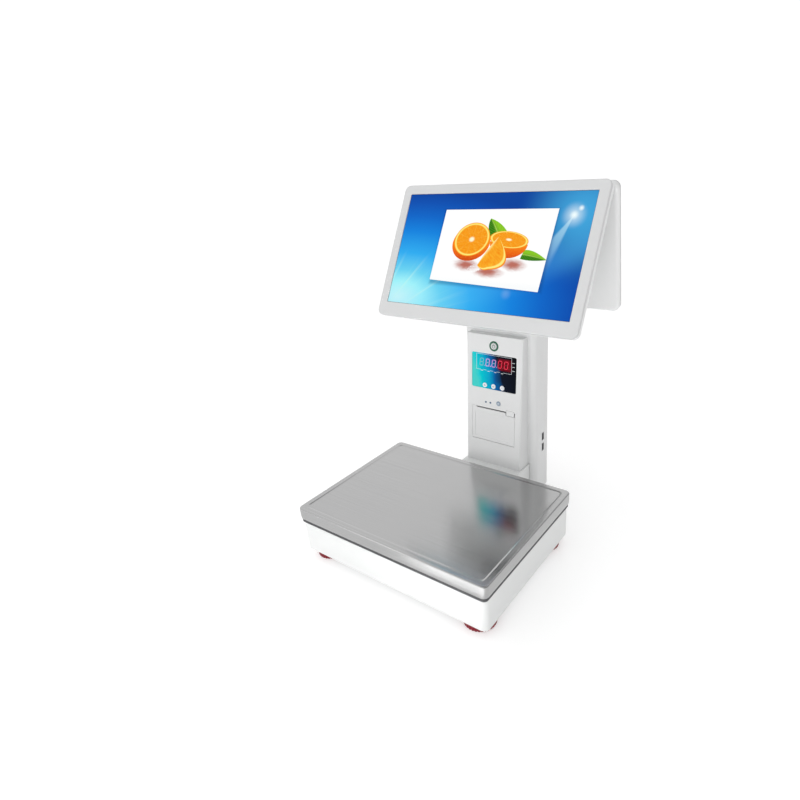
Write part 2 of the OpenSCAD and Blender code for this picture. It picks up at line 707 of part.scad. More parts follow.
// Rubber platen roller on its steel shaft
module platen_roller() color("dimgray") on_face() {
  x_bar(platen_r, paper_x - platen_half, paper_x + platen_half, platen_pos);
  x_bar(platen_pin_r, gear_x - 0.5, paper_x + platen_half + 2.9, platen_pos);
}

// Gear on the platen's left end; a tooth gap faces the drive gear
module platen_gear() color("ivory") on_face()
  translate([0, platen_pos[0], platen_pos[1]]) gear(platen_teeth, platen_pin_r, 180 / platen_teeth);

// Gear on the motor shaft; tooth 0 faces the platen gear
module drive_gear() color("ivory") on_face()
  translate([0, platen_pos[0] + gear_gap, platen_pos[1]]) gear(drive_teeth, 1.5 + running_gap, 180);

// Stepper motor that passes through the chassis wall
module feed_motor() color("gray") on_face() {
  x_bar(8, -52.5, gear_x - 0.6, [platen_pos[0] + gear_gap, platen_pos[1]]);
  x_bar(1.5, gear_x - 0.7, gear_x + gear_w + 0.3, [platen_pos[0] + gear_gap, platen_pos[1]]);
}

// Hollow spindle between the chassis walls, with a guide flange on each side of the roll
module label_spindle() color("lightgray") difference() {
  union() {
    x_bar(spindle_r, -chassis_in, chassis_in, [roll_y, roll_z]);
    for (s = [-1, 1])
      translate([paper_x + s * (roll_w / 2 + 1.15), 0, 0]) x_bar(17, -0.85, 0.85, [roll_y, roll_z]);
  }
  x_bar(spindle_r - 2, -60, 60, [roll_y, roll_z]);
}

// Full roll of labels
module label_roll() color("ivory") difference() {
  x_bar(roll_r, paper_x - roll_w / 2, paper_x + roll_w / 2, [roll_y, roll_z]);
  x_bar(core_r, -60, 60, [roll_y, roll_z]);
}

// ---- Operator display ----

module front_bezel() color("gainsboro") on_front() difference() {
  translate([0, 0, -picture_drop])
    panel_loft(head_w, front_h, head_r, concat(round_start(0, 1.8, 3), [[bezel_t, 0]]));
  upright_plate(picture_w + 1, picture_h + 1, -1, 8, 1);
  upright_plate(picture_w + 6, picture_h + 6, glass_y, 8, 1);
}

module front_glass() color("darkblue") on_front()
  upright_plate(picture_w + 5.4, picture_h + 5.4, glass_y, glass_y + 2, 1);

module front_lcd() color("black") on_front()
  upright_plate(picture_w + 5, picture_h + 5, glass_y + 2, glass_y + 7.5, 1);

// Back shell of the operator display, with a raised box for the electronics
module front_shell() color("whitesmoke") on_front() difference() {
  union() {
    translate([0, 0, -picture_drop])
      panel_loft(head_w, front_h, head_r, concat([[bezel_t, 0]], round_end(front_t, 6, 4)));
    translate([0, 0, -12]) panel_loft(250, 150, 22, concat([[front_t - 4, 0]], round_end(bulge_t, 8, 4)));
  }
  translate([0, 0, -picture_drop])
    upright_plate(head_w - 14, front_h - 14, bezel_t - 1, front_t - shell_wall, 6);
  translate([0, 0, -12]) upright_plate(232, 132, front_t - shell_wall - 1, bulge_t - shell_wall, 12);
  for (i = [0:7], sx = [-1, 1]) translate([sx * 82 - 22, bulge_t - 6, 24 - i * 5.5]) cube([44, 12, 2.2]);
}

module main_board() color("seagreen") on_front() {
  span([-90, 15, -70], [90, 16.6, 40]);
  span([-30, 16.5, -30], [20, 24, 20]);
  span([40, 16.5, -60], [80, 22, -30]);
}

module front_hinge_plate() color("lightgray") {
  on_front() span([-48, bulge_t, -50], [48, bulge_t + 2.5, 40]);
  difference() {
    for (s = [-1, 1]) {
      x = s > 0 ? arm_ear_x : -arm_ear_x - ear_t;
      x_bar(9, x, x + ear_t, front_axis);
      on_front() x_plate(x, x + ear_t, [
        [bulge_t + 2, front_local[1] - 16], [front_local[0] + 2, front_local[1] - 8.7],
        [front_local[0] + 2, front_local[1] + 8.7], [bulge_t + 2, front_local[1] + 16]]);
    }
    x_bar(front_pin_r + running_gap, -80, 80, front_axis);
  }
}

module front_screws() color("dimgray") on_front()
  for (sx = [-1, 1], z = [-100, 92])
    translate([sx * 170, front_t, z]) rotate([-90, 0, 0]) screw(2.6, 0.8, 1.2, 6);

// ---- Customer display ----

module rear_bezel() color("gainsboro") on_rear() difference() {
  panel_loft(head_w, rear_h, head_r, concat(round_start(0, 1.8, 3), [[bezel_t, 0]]));
  upright_plate(rear_picture_w + 1, rear_picture_h + 1, -1, 8, 1);
  upright_plate(rear_picture_w + 6, rear_picture_h + 6, glass_y, 8, 1);
}

module rear_lcd() color("black") on_rear()
  upright_plate(rear_picture_w + 5, rear_picture_h + 5, glass_y, glass_y + 6, 1);

module rear_shell() color("whitesmoke") on_rear() difference() {
  panel_loft(head_w, rear_h, head_r, concat([[bezel_t, 0]], round_end(rear_t, 5, 4)));
  upright_plate(head_w - 14, rear_h - 14, bezel_t - 1, rear_t - shell_wall, 6);
}

module rear_hinge_plate() color("lightgray") {
  on_rear() span([-48, rear_t, -50], [48, rear_t + 2.5, 30]);
  difference() {
    for (s = [-1, 1]) {
      x = s > 0 ? arm_ear_x : -arm_ear_x - ear_t;
      x_bar(8, x, x + ear_t, rear_axis);
      on_rear() x_plate(x, x + ear_t, [
        [rear_t + 2, rear_local[1] - 14], [rear_local[0] + 2, rear_local[1] - 7.7],
        [rear_local[0] + 2, rear_local[1] + 7.7], [rear_t + 2, rear_local[1] + 14]]);
    }
    x_bar(rear_pin_r + running_gap, -80, 80, rear_axis);
  }
}

module rear_screws() color("dimgray") on_rear()
  for (sx = [-1, 1], z = [-86, 86])
    translate([sx * 120, rear_t, z]) rotate([-90, 0, 0]) screw(2.6, 0.8, 1.2, 6);

base_housing();
base_plate();
load_cell();
load_cell_bolts();
pan_support();
pan_buffers();
weighing_pan();
level_vial();
scale_board();
base_screws();
foot_front_left();
foot_front_right();
foot_rear_left();
foot_rear_right();
stud_front_left();
stud_front_right();
stud_rear_left();
stud_rear_right();
column_frame();
column_shell();
column_rear_cover();
column_top_cap();
column_screws();
usb_ports();
power_inlet();
power_supply();
head_bracket();
hinge_shafts();
fascia_frame();
weight_panel();
digit_display();
tare_key();
zero_key();
unit_key();
power_button();
power_ring();
feed_button();
status_leds();
door_latch();
printer_door();
printer_chassis();
thermal_head();
platen_roller();
platen_gear();
drive_gear();
feed_motor();
label_spindle();
label_roll();
front_bezel();
front_glass();
front_lcd();
front_shell();
main_board();
front_hinge_plate();
front_screws();
rear_bezel();
rear_lcd();
rear_shell();
rear_hinge_plate();
rear_screws();
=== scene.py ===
"""Looks of a label printing scale: white base, steel pan, printer column, weight panel and displays."""

import json
import math

import bmesh
import bpy
from mathutils import Matrix, Vector

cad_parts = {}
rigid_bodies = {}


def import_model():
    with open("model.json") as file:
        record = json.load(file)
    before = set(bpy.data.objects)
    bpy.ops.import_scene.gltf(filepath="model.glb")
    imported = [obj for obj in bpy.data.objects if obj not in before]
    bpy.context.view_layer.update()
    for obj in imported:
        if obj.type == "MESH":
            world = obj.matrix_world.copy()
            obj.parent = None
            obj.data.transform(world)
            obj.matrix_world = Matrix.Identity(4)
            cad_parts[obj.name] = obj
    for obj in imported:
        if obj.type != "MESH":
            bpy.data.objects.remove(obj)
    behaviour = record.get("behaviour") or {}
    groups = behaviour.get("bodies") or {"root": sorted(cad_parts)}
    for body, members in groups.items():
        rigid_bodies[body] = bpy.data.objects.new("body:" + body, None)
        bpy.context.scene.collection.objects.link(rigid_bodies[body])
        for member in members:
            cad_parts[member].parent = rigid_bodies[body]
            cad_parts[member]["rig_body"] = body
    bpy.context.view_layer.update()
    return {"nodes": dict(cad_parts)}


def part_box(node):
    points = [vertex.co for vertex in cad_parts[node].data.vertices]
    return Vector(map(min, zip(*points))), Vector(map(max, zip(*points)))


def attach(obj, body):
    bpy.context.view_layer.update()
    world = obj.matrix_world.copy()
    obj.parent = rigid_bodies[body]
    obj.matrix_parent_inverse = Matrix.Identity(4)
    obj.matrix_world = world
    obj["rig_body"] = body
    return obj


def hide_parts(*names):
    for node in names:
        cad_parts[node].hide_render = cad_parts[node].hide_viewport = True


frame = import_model()
NODES = frame["nodes"]

# Millimetres in metres, the distance in millimetres at which points are welded, and the angle in
# degrees below which neighbouring faces count as one flat face
MM = 0.001
WELD = 0.002
FLAT_ANGLE = 0.6
CORNER_STEPS = 10


# ---- Colours and material nodes ----


def srgb(r, g, b):
    """Linear colour from the 0 to 255 values of a screen."""
    return tuple(((c / 255 + 0.055) / 1.055) ** 2.4 if c > 10 else c / 255 / 12.92 for c in (r, g, b))


def toned(colour, factor):
    """The same colour, darker or lighter."""
    return tuple(min(1.0, c * factor) for c in colour)


class Finish:
    """One material: a Principled shader, and the nodes that feed it."""

    def __init__(self, name, colour, roughness, **fixed):
        self.mat = bpy.data.materials.new(name)
        self.mat.use_nodes = True
        self.tree = self.mat.node_tree
        self.shader = self.tree.nodes["Principled BSDF"]
        self.colour = colour
        self.shader.inputs["Base Color"].default_value = (*colour, 1)
        self.shader.inputs["Roughness"].default_value = roughness
        for socket, value in fixed.items():
            self.shader.inputs[socket.replace("_", " ")].default_value = value
        self.coordinates = self.tree.nodes.new("ShaderNodeTexCoord")

    def put(self, node, socket, value):
        """Links an input to another node's output, or sets it to a plain value."""
        if isinstance(value, bpy.types.NodeSocket):
            self.tree.links.new(value, node.inputs[socket])
        else:
            node.inputs[socket].default_value = value

    def add(self, kind, inputs=(), **settings):
        node = self.tree.nodes.new("ShaderNode" + kind)
        for key, value in settings.items():
            setattr(node, key, value)
        for key, value in dict(inputs).items():
            self.put(node, key, value)
        return node

    def feed(self, socket, source):
        self.tree.links.new(source, self.shader.inputs[socket])

    def glowing(self, colour):
        """The finished material, lit up in a colour."""
        self.feed("Emission Color", colour)
        return self.mat

    def place(self, scale=(1, 1, 1), turn=(0, 0, 0), shift=(0, 0, 0), source=None):
        """Scaled object coordinates, in metres before scaling."""
        start = source or self.coordinates.outputs["Object"]
        inputs = {"Vector": start, "Scale": scale, "Rotation": turn, "Location": shift}
        return self.add("Mapping", inputs).outputs[0]

    def uv(self):
        return self.add("UVMap", uv_map="layout").outputs[0]

    def noise(self, vector, scale, detail=3.0, rough=0.5):
        inputs = {"Vector": vector, "Scale": scale, "Detail": detail, "Roughness": rough}
        return self.add("TexNoise", inputs).outputs["Fac"]

    def spread(self, value, low, high, from_low=0.3, from_high=0.7):
        inputs = {"Value": value, "From Min": from_low, "From Max": from_high, "To Min": low, "To Max": high}
        return self.add("MapRange", inputs).outputs[0]

    def smooth(self, value, start, end):
        """0 at start and 1 at end, with a soft turn at both."""
        inputs = {"Value": value, "From Min": start, "From Max": end}
        return self.add("MapRange", inputs, interpolation_type="SMOOTHSTEP").outputs[0]

    def mix(self, factor, a, b):
        """Colour a where the factor is 0 and colour b where it is 1."""
        node = self.add("Mix", data_type="RGBA")
        for socket, value in ((0, factor), (6, a), (7, b)):
            self.put(node, socket, (*value, 1) if isinstance(value, tuple) else value)
        return node.outputs[2]

    def ramp(self, value, *stops):
        """Colour that runs through stops, each a position and the 0 to 255 values of a screen."""
        node = self.add("ValToRGB", {"Fac": value})
        elements = node.color_ramp.elements
        while len(elements) < len(stops):
            elements.new(0.5)
        for element, (position, *colour) in zip(elements, stops):
            element.position = position
            element.color = (*srgb(*colour), 1)
        return node.outputs[0]

    def calc(self, operation, a, b=0.0, c=0.0):
        node = self.add("Math", operation=operation)
        for index, value in enumerate((a, b, c)):
            self.put(node, index, value)
        return node.outputs[0]

    def plus(self, a, b):
        return self.calc("ADD", a, b)

    def minus(self, a, b):
        return self.calc("SUBTRACT", a, b)

    def times(self, a, b):
        return self.calc("MULTIPLY", a, b)

    def gap(self, a, b):
        """How far a value is from another."""
        return self.calc("ABSOLUTE", self.minus(a, b))

    def reach(self, x, y):
        """Length of a flat vector."""
        return self.calc("SQRT", self.plus(self.times(x, x), self.times(y, y)))

    def split(self, vector):
        node = self.add("SeparateXYZ", {"Vector": vector})
        return node.outputs[0], node.outputs[1], node.outputs[2]

    def bump(self, height, depth, strength, over=None):
        inputs = {"Height": height, "Distance": depth, "Strength": strength}
        if over is not None:
            inputs["Normal"] = over
        return self.add("Bump", inputs).outputs[0]

    def tint(self, amount, scale):
        """Lets the base colour drift a little over the surface."""
        cloud = self.noise(self.place(), scale, 3, 0.6)
        low, high = toned(self.colour, 1 - amount), toned(self.colour, 1 + amount)
        self.feed("Base Color", self.mix(self.spread(cloud, 0, 1), low, high))


# Scales of a moulding's noise: drift of its colour and gloss, waves where it sank, and spark grain
CLOUD_SCALE = 9
GLOSS_SCALE = 60
WAVE_SCALE = 34
SPARK_SCALE = 2600


def moulded(name, colour, roughness, grain, drift=0.015, sink=0.08, **fixed):
    """Injection-moulded plastic: fine spark grain, a little uneven gloss and colour."""
    f = Finish(name, colour, roughness, **fixed)
    f.tint(drift, CLOUD_SCALE)
    uneven = f.noise(f.place(), GLOSS_SCALE, 4, 0.6)
    f.feed("Roughness", f.spread(uneven, roughness - 0.02, roughness + 0.03))
    waves = f.bump(f.noise(f.place(), WAVE_SCALE, 2), 0.0002, sink)
    f.feed("Normal", f.bump(f.noise(f.place(), SPARK_SCALE, 2), 0.00003, grain, waves))
    return f.mat


def brushed(name, colour, roughness, along):
    """Rolled or brushed metal, with fine lines along the axis that has the lowest scale."""
    f = Finish(name, colour, roughness, Metallic=1.0)
    lines = f.noise(f.place(scale=along), 1.0, 4, 0.65)
    clouds = f.noise(f.place(), 14, 3, 0.6)
    f.feed("Base Color", f.mix(f.spread(lines, 0, 1), toned(colour, 0.88), toned(colour, 1.08)))
    worn = f.spread(clouds, roughness - 0.03, roughness + 0.05)
    f.feed("Roughness", f.plus(f.spread(lines, -0.05, 0.06), worn))
    f.feed("Normal", f.bump(lines, 0.00002, 0.5))
    return f.mat


def cast_metal(name, colour, roughness):
    """Cast or zinc-plated metal with a speckled skin."""
    f = Finish(name, colour, roughness, Metallic=1.0)
    speckle = f.noise(f.place(), 420, 4, 0.7)
    f.feed("Base Color", f.mix(f.spread(speckle, 0, 1), toned(colour, 0.75), colour))
    f.feed("Roughness", f.spread(speckle, roughness - 0.12, roughness + 0.12))
    f.feed("Normal", f.bump(speckle, 0.00008, 0.4))
    return f.mat


def pan_steel():
    """Satin stainless sheet: the brush lines run along each side and across the top."""
    colour = (0.42, 0.42, 0.42)
    f = Finish("pan_satin_steel", colour, 0.19, Metallic=1.0)
    top = f.noise(f.place(scale=(3, 800, 800)), 1.0, 4, 0.65)
    side = f.noise(f.place(scale=(800, 3, 800)), 1.0, 4, 0.65)
    facing, _, _ = f.split(f.coordinates.outputs["Normal"])
    turned = f.smooth(f.gap(facing, 0.0), 0.35, 0.75)
    lines = f.plus(f.times(top, f.minus(1.0, turned)), f.times(side, turned))
    clouds = f.noise(f.place(), 8, 4, 0.6)
    smears = f.noise(f.place(scale=(1, 3, 1), turn=(0, 0, 0.6)), 22, 5, 0.7)
    shade = f.mix(f.spread(lines, 0, 1), toned(colour, 0.93), toned(colour, 1.06))
    f.feed("Base Color", f.mix(f.spread(clouds, 0, 0.2), shade, (0.38, 0.385, 0.39)))
    f.feed("Roughness", f.plus(f.spread(lines, -0.03, 0.035), f.spread(smears, 0.15, 0.19)))
    f.feed("Normal", f.bump(lines, 0.00001, 0.2))
    return f.mat


def lens_black():
    """Gloss lens of the weight panel, with a painted turquoise glow on its left that fades to black."""
    f = Finish("panel_lens_painted_glow", (0.004, 0.004, 0.005), 0.07, Specular_IOR_Level=0.05)
    across, up, _ = f.split(f.uv())
    sway = f.spread(f.noise(f.place(), 30, 2), -0.05, 0.05)
    slant = f.plus(f.plus(across, f.times(f.minus(up, 1.0), 0.17)), sway)
    # Painted blue glow: turquoise on the left fading to black across the lens, light laid on as colour
    blues = ((0.0, 70, 206, 200), (0.12, 0, 196, 206), (0.3, 0, 156, 196), (0.44, 2, 92, 158))
    painted_glow_colour = f.ramp(slant, *blues, (0.58, 6, 16, 34), (1.0, 4, 4, 5))
    # The digits' red light behind the right part of the window
    wide = f.smooth(f.gap(across, 0.75), 0.19, 0.09)
    high = f.smooth(f.gap(up, 0.75), 0.19, 0.13)
    f.feed("Base Color", f.mix(f.times(wide, high), painted_glow_colour, srgb(112, 4, 22)))
    f.feed("Roughness", f.spread(f.noise(f.place(), 300, 3, 0.6), 0.06, 0.11))
    return f.mat


def lit(name, colour, strength):
    """A mark that glows in its own colour with a slight unevenness: the light of lamps and lit digits, and a
    painted glow on white print.
    """
    f = Finish(name, toned(colour, 0.25), 0.35, Emission_Strength=strength)
    cloud = f.noise(f.place(), 500, 2)
    return f.glowing(f.mix(f.spread(cloud, 0, 1), toned(colour, 0.92), colour))


def ink(name, colour, roughness):
    """Printed ink."""
    f = Finish(name, colour, roughness)
    f.tint(0.06, 700)
    return f.mat


def rubber(name, colour):
    """Matt rubber with a fine skin."""
    f = Finish(name, colour, 0.7)
    f.tint(0.12, 120)
    f.feed("Normal", f.bump(f.noise(f.place(), 1500, 3, 0.6), 0.00006, 0.6))
    return f.mat


def circuit():
    """Green solder mask with fine copper tracks and scattered pads."""
    f = Finish("board_green", (0.02, 0.12, 0.04), 0.35)
    layout = {"Vector": f.place(), "Scale": 260.0, "Mortar Size": 0.03}
    mask = {"Color1": (0.012, 0.085, 0.03, 1), "Color2": (0.02, 0.13, 0.05, 1)}
    copper = {"Mortar": (0.06, 0.22, 0.09, 1)}
    tracks = f.add("TexBrick", layout | mask | copper, offset=0.35, squash=1.6)
    spots = f.add("TexVoronoi", {"Vector": f.place(), "Scale": 420.0})
    pads = f.smooth(spots.outputs["Distance"], 0.2, 0.16)
    f.feed("Base Color", f.mix(pads, tracks.outputs["Color"], (0.6, 0.58, 0.5)))
    f.feed("Roughness", f.spread(pads, 0.4, 0.25, 0, 1))
    return f.mat


def paper():
    """Rolled thermal labels: white faces, and wound layers on the roll's ends."""
    f = Finish("label_paper", (0.8, 0.79, 0.75), 0.6)
    f.tint(0.03, 40)
    _, y, z = f.split(f.place(shift=(0, -ROLL_AXIS[0], -ROLL_AXIS[1])))
    layers = f.calc("SINE", f.times(f.reach(y, z), 9000.0))
    f.feed("Normal", f.bump(layers, 0.00004, 0.5))
    return f.mat


# ---- Mesh helpers ----


def new_object(name, bm, material):
    """Turns a bmesh into an object of one material in the scene."""
    mesh = bpy.data.meshes.new(name)
    bm.to_mesh(mesh)
    bm.free()
    made = bpy.data.objects.new(name, mesh)
    made.data.materials.append(material)
    bpy.context.scene.collection.objects.link(made)
    return made


def link_piece(name, bm, body, material, slot, replaces=(), smooth_angle=35):
    """Turns a bmesh in the frame's coordinates into a smooth-shaded piece that rides on a body."""
    for edge in bm.edges:
        if len(edge.link_faces) == 2:
            edge.smooth = edge.calc_face_angle(0) < math.radians(smooth_angle)
    for face in bm.faces:
        face.smooth = True
    piece = new_object(name, bm, material)
    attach(piece, body)
    if replaces:
        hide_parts(*replaces)
    return piece


def weigh_normals(piece):
    piece.modifiers.new("even_normals", "WEIGHTED_NORMAL").keep_sharp = True


def mm(x, y, z):
    """A place given in millimetres."""
    return Vector((x * MM, y * MM, z * MM))


def face_out(bm):
    bmesh.ops.recalc_face_normals(bm, faces=bm.faces)


def weld(bm):
    bmesh.ops.remove_doubles(bm, verts=bm.verts, dist=WELD * MM)


def node_copy(node):
    """A CAD node's mesh, with its flat faces in one piece each."""
    bm = bmesh.new()
    bm.from_mesh(NODES[node].data)
    weld(bm)
    bmesh.ops.dissolve_limit(bm, angle_limit=math.radians(FLAT_ANGLE), verts=bm.verts, edges=bm.edges)
    return bm


def round_edges(piece, width, segments, angle, miter):
    """Rounds the edges of a piece that are sharper than an angle in degrees."""
    bevel = piece.modifiers.new("rounded_edges", "BEVEL")
    bevel.width = width * MM
    bevel.segments = segments
    bevel.limit_method = "ANGLE"
    bevel.angle_limit = math.radians(angle)
    bevel.miter_outer = miter
    weigh_normals(piece)


def softened(node, name, width, material, slot, segments=2, angle=32):
    """A copy of a CAD node whose sharp edges are rounded as a mould would leave them."""
    piece = link_piece(name, node_copy(node), NODES[node]["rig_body"], material, slot, [node], 180)
    round_edges(piece, width, segments, angle, "MITER_ARC")


def rounded_ring(w, h, r, steps=CORNER_STEPS):
    """Points of a rounded rectangle, anticlockwise."""
    r = max(r, 0.01)
    points = []
    for k, (sx, sy) in enumerate(((1, 1), (-1, 1), (-1, -1), (1, -1))):
        for i in range(steps + 1):
            a = math.pi / 2 * (k + i / steps)
            points.append((sx * (w / 2 - r) + r * math.cos(a), sy * (h / 2 - r) + r * math.sin(a)))
    return points


def skin(bm, rings, closed=False, cap_start=False, cap_end=False):
    """Joins rings of equally many points into a skin."""
    rows = [[bm.verts.new(p) for p in ring] for ring in rings]
    pairs = list(zip(rows, rows[1:]))
    if closed:
        pairs.append((rows[-1], rows[0]))
    for a, b in pairs:
        for i in range(len(a)):
            j = (i + 1) % len(a)
            bm.faces.new((a[i], a[j], b[j], b[i]))
    if cap_start:
        bm.faces.new(rows[0][::-1])
    if cap_end:
        bm.faces.new(rows[-1])
    return rows


def front_frame(node, outward):
    """Frame of a flat-fronted node: y goes into its front face, z up it, origin in its middle."""
    areas = {}
    for polygon in NODES[node].data.polygons:
        key = tuple(round(c, 3) for c in polygon.normal)
        areas[key] = areas.get(key, 0) + polygon.area
    normal = max((k for k in areas if k[1] * outward > 0.5), key=areas.get)
    into = -Vector(normal).normalized()
    up = (Vector((0, 0, 1)) - into * into.z).normalized()
    side = into.cross(up)
    turn = Matrix((side, into, up)).transposed()
    local = [turn.inverted() @ v.co for v in NODES[node].data.vertices]
    middle = [(min(p[i] for p in local) + max(p[i] for p in local)) / 2 for i in range(3)]
    middle[1] = min(p[1] for p in local)
    return Matrix.Translation(turn @ Vector(middle)) @ turn.to_4x4()


def local_size(node, matrix):
    """Lowest and highest corner of a node in a frame of its own, in millimetres."""
    inverse = matrix.inverted()
    points = [inverse @ v.co for v in NODES[node].data.vertices]
    low = Vector([min(p[i] for p in points) for i in range(3)]) / MM
    high = Vector([max(p[i] for p in points) for i in range(3)]) / MM
    return low, high


def thicken(bm, face, thick):
    """Lifts a face towards the viewer and closes its sides."""
    made = bmesh.ops.extrude_face_region(bm, geom=[face])
    lifted = [v for v in made["geom"] if isinstance(v, bmesh.types.BMVert)]
    bmesh.ops.translate(bm, verts=lifted, vec=(0, -thick * MM, 0))


def flat_piece(name, outline, matrix, depth, body, material, slot, thick=0.0, layout=None):
    """A thin flat piece that faces the viewer of a display or panel.

    Its outline is in millimetres, x to the right and z up. layout maps a point of it to the
    material's own coordinates.
    """
    bm = bmesh.new()
    face = bm.faces.new([bm.verts.new(mm(x, depth, z)) for x, z in outline])
    if thick:
        thicken(bm, face, thick)
    face_out(bm)
    if not thick and face.normal.y > 0:
        bmesh.ops.reverse_faces(bm, faces=bm.faces)
    if layout:
        layer = bm.loops.layers.uv.new("layout")
        for f in bm.faces:
            for loop in f.loops:
                loop[layer].uv = layout(loop.vert.co.x / MM, loop.vert.co.z / MM)
    bm.transform(matrix)
    link_piece(name, bm, body, material, slot, smooth_angle=30)


def unit_box(x_low, x_high, z_low, z_high):
    """Layout that runs from 0 to 1 over a rectangle."""
    return lambda x, z: ((x - x_low) / (x_high - x_low), (z - z_low) / (z_high - z_low))


def middle_of(low, high):
    """Point of the floor under the middle of a box."""
    return Vector(((low.x + high.x) / 2, (low.y + high.y) / 2, 0))


def rectangle(x, z, w, h):
    return [(x - w / 2, z - h / 2), (x + w / 2, z - h / 2), (x + w / 2, z + h / 2), (x - w / 2, z + h / 2)]


def ellipse(x, z, a, b, turn=0.0, steps=48, start=0.0, end=360.0):
    """Points of an ellipse or of an arc of it, turned by an angle in degrees."""
    t = math.radians(turn)
    points = []
    count = steps if end - start >= 360 else steps + 1
    for i in range(count):
        s = math.radians(start + (end - start) * i / steps)
        u, v = a * math.cos(s), b * math.sin(s)
        points.append((x + u * math.cos(t) - v * math.sin(t), z + u * math.sin(t) + v * math.cos(t)))
    return points


def lathe(bm, profile, matrix, steps=64):
    """Turns a profile of (radius, depth) about the y axis of a frame, and caps its ends."""

    def ring(r, d):
        angles = [2 * math.pi * i / steps for i in range(steps)]
        return [matrix @ mm(r * math.cos(a), d, r * math.sin(a)) for a in angles]

    skin(bm, [ring(*p) for p in profile], cap_start=True, cap_end=True)
    face_out(bm)


# ---- Positions taken from the frame ----

PANEL = front_frame("weight_panel", -1)
FRONT = front_frame("front_glass", -1)
REAR = front_frame("rear_lcd", 1)
roll_low, roll_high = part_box("label_roll")
ROLL_AXIS = ((roll_low.y + roll_high.y) / 2, (roll_low.z + roll_high.z) / 2)

# ---- Materials ----

WHITE_CAST = moulded("white_cast_base", (0.76, 0.77, 0.765), 0.34, 0.3)
WHITE_SHELL = moulded("white_column_plastic", (0.73, 0.735, 0.735), 0.33, 0.3)
WHITE_FRONT = moulded("white_fascia_plastic", (0.72, 0.725, 0.725), 0.3, 0.3)
BEZEL = moulded("display_bezel_plastic", (0.6, 0.605, 0.608), 0.3, 0.25, 0.006, 0.0)
HEAD_SHELL = moulded("display_back_plastic", (0.82, 0.825, 0.825), 0.36, 0.4)
FOOT_RED = moulded("foot_red_plastic", (0.2, 0.004, 0.014), 0.45, 0.5, 0.08, Specular_IOR_Level=0.3)
KEY_WHITE = moulded("key_white_plastic", (0.86, 0.88, 0.9), 0.28, 0.2)
BUTTON_GREY = moulded("feed_button_plastic", (0.27, 0.34, 0.42), 0.4, 0.3)
INNER_PLASTIC = moulded("inner_plastic", (0.32, 0.33, 0.33), 0.5, 0.5)
GEAR_PLASTIC = moulded("gear_plastic", (0.78, 0.75, 0.66), 0.45, 0.3)
INLET_BLACK = moulded("inlet_black_plastic", (0.018, 0.018, 0.02), 0.42, 0.6, 0.1)
RING_GREEN = moulded("power_ring_green", (0.015, 0.11, 0.06), 0.25, 0.2, 0.06)
PAN_STEEL = pan_steel()
BUTTON_SILVER = brushed("power_button_silver", (0.62, 0.63, 0.63), 0.28, (900, 900, 20))
ZINC = cast_metal("zinc_plate", (0.6, 0.61, 0.62), 0.42)
# Painted shade: the pan support is black so that the gap under the pan's skirt reads as a dark shade line
SUPPORT_SHADE_BLACK = moulded("support_black_painted_shade", (0.045, 0.046, 0.05), 0.55, 0.9, 0.05)
CELL_ALU = brushed("cell_milled_aluminium", (0.68, 0.69, 0.7), 0.34, (900, 5, 900))
BLACK_STEEL = cast_metal("blackened_steel", (0.05, 0.05, 0.055), 0.4)
SCREW_STEEL = brushed("screw_steel", (0.55, 0.55, 0.56), 0.3, (700, 700, 700))
PORT_METAL = brushed("socket_shell_steel", (0.3, 0.31, 0.32), 0.32, (900, 8, 900))
SUPPLY = brushed("supply_case_steel", (0.6, 0.6, 0.58), 0.38, (4, 900, 900))
MOTOR = brushed("motor_can_steel", (0.45, 0.45, 0.46), 0.32, (5, 800, 800))
HEAD_CERAMIC = moulded("print_head_ceramic", (0.32, 0.22, 0.12), 0.25, 0.1)
RUBBER = rubber("platen_and_buffer_rubber", (0.03, 0.03, 0.032))
VIAL = moulded("vial_acrylic", (0.5, 0.75, 0.2), 0.08, 0.05, 0.04)
BOARD = circuit()
PAPER = paper()
LENS = lens_black()
GLASS_EDGE = ink("glass_black_border", (0.008, 0.008, 0.01), 0.12)
LAMP_BLUE = lit("lamp_blue_lens", srgb(96, 122, 150), 0.5)
DIGIT_RED = lit("digit_red_light", srgb(228, 20, 62), 1.0)
# Painted blue glow also on the digits: the left digits' pale violet light and the unlit segments' turquoise
# stand for that glow over red digits
DIGIT_WASHED = lit("digit_light_under_painted_glow", srgb(214, 150, 214), 0.9)
DIGIT_PALE = ink("digit_unlit_in_painted_glow", (0.2, 0.5, 0.52), 0.3)
DIGIT_DARK = ink("digit_unlit", (0.05, 0.004, 0.008), 0.3)
# The panel's white print glows: painted light on ink
MARK_WHITE = lit("panel_white_print_painted_glow", srgb(206, 214, 216), 0.8)
MARK_BLUE = ink("key_mark_ink", srgb(74, 98, 132), 0.45)
MARK_GREEN = ink("standby_mark_ink", (0.01, 0.09, 0.045), 0.4)

CORNERS = ("front_left", "front_right", "rear_left", "rear_right")
STUDS = ["stud_" + corner for corner in CORNERS]

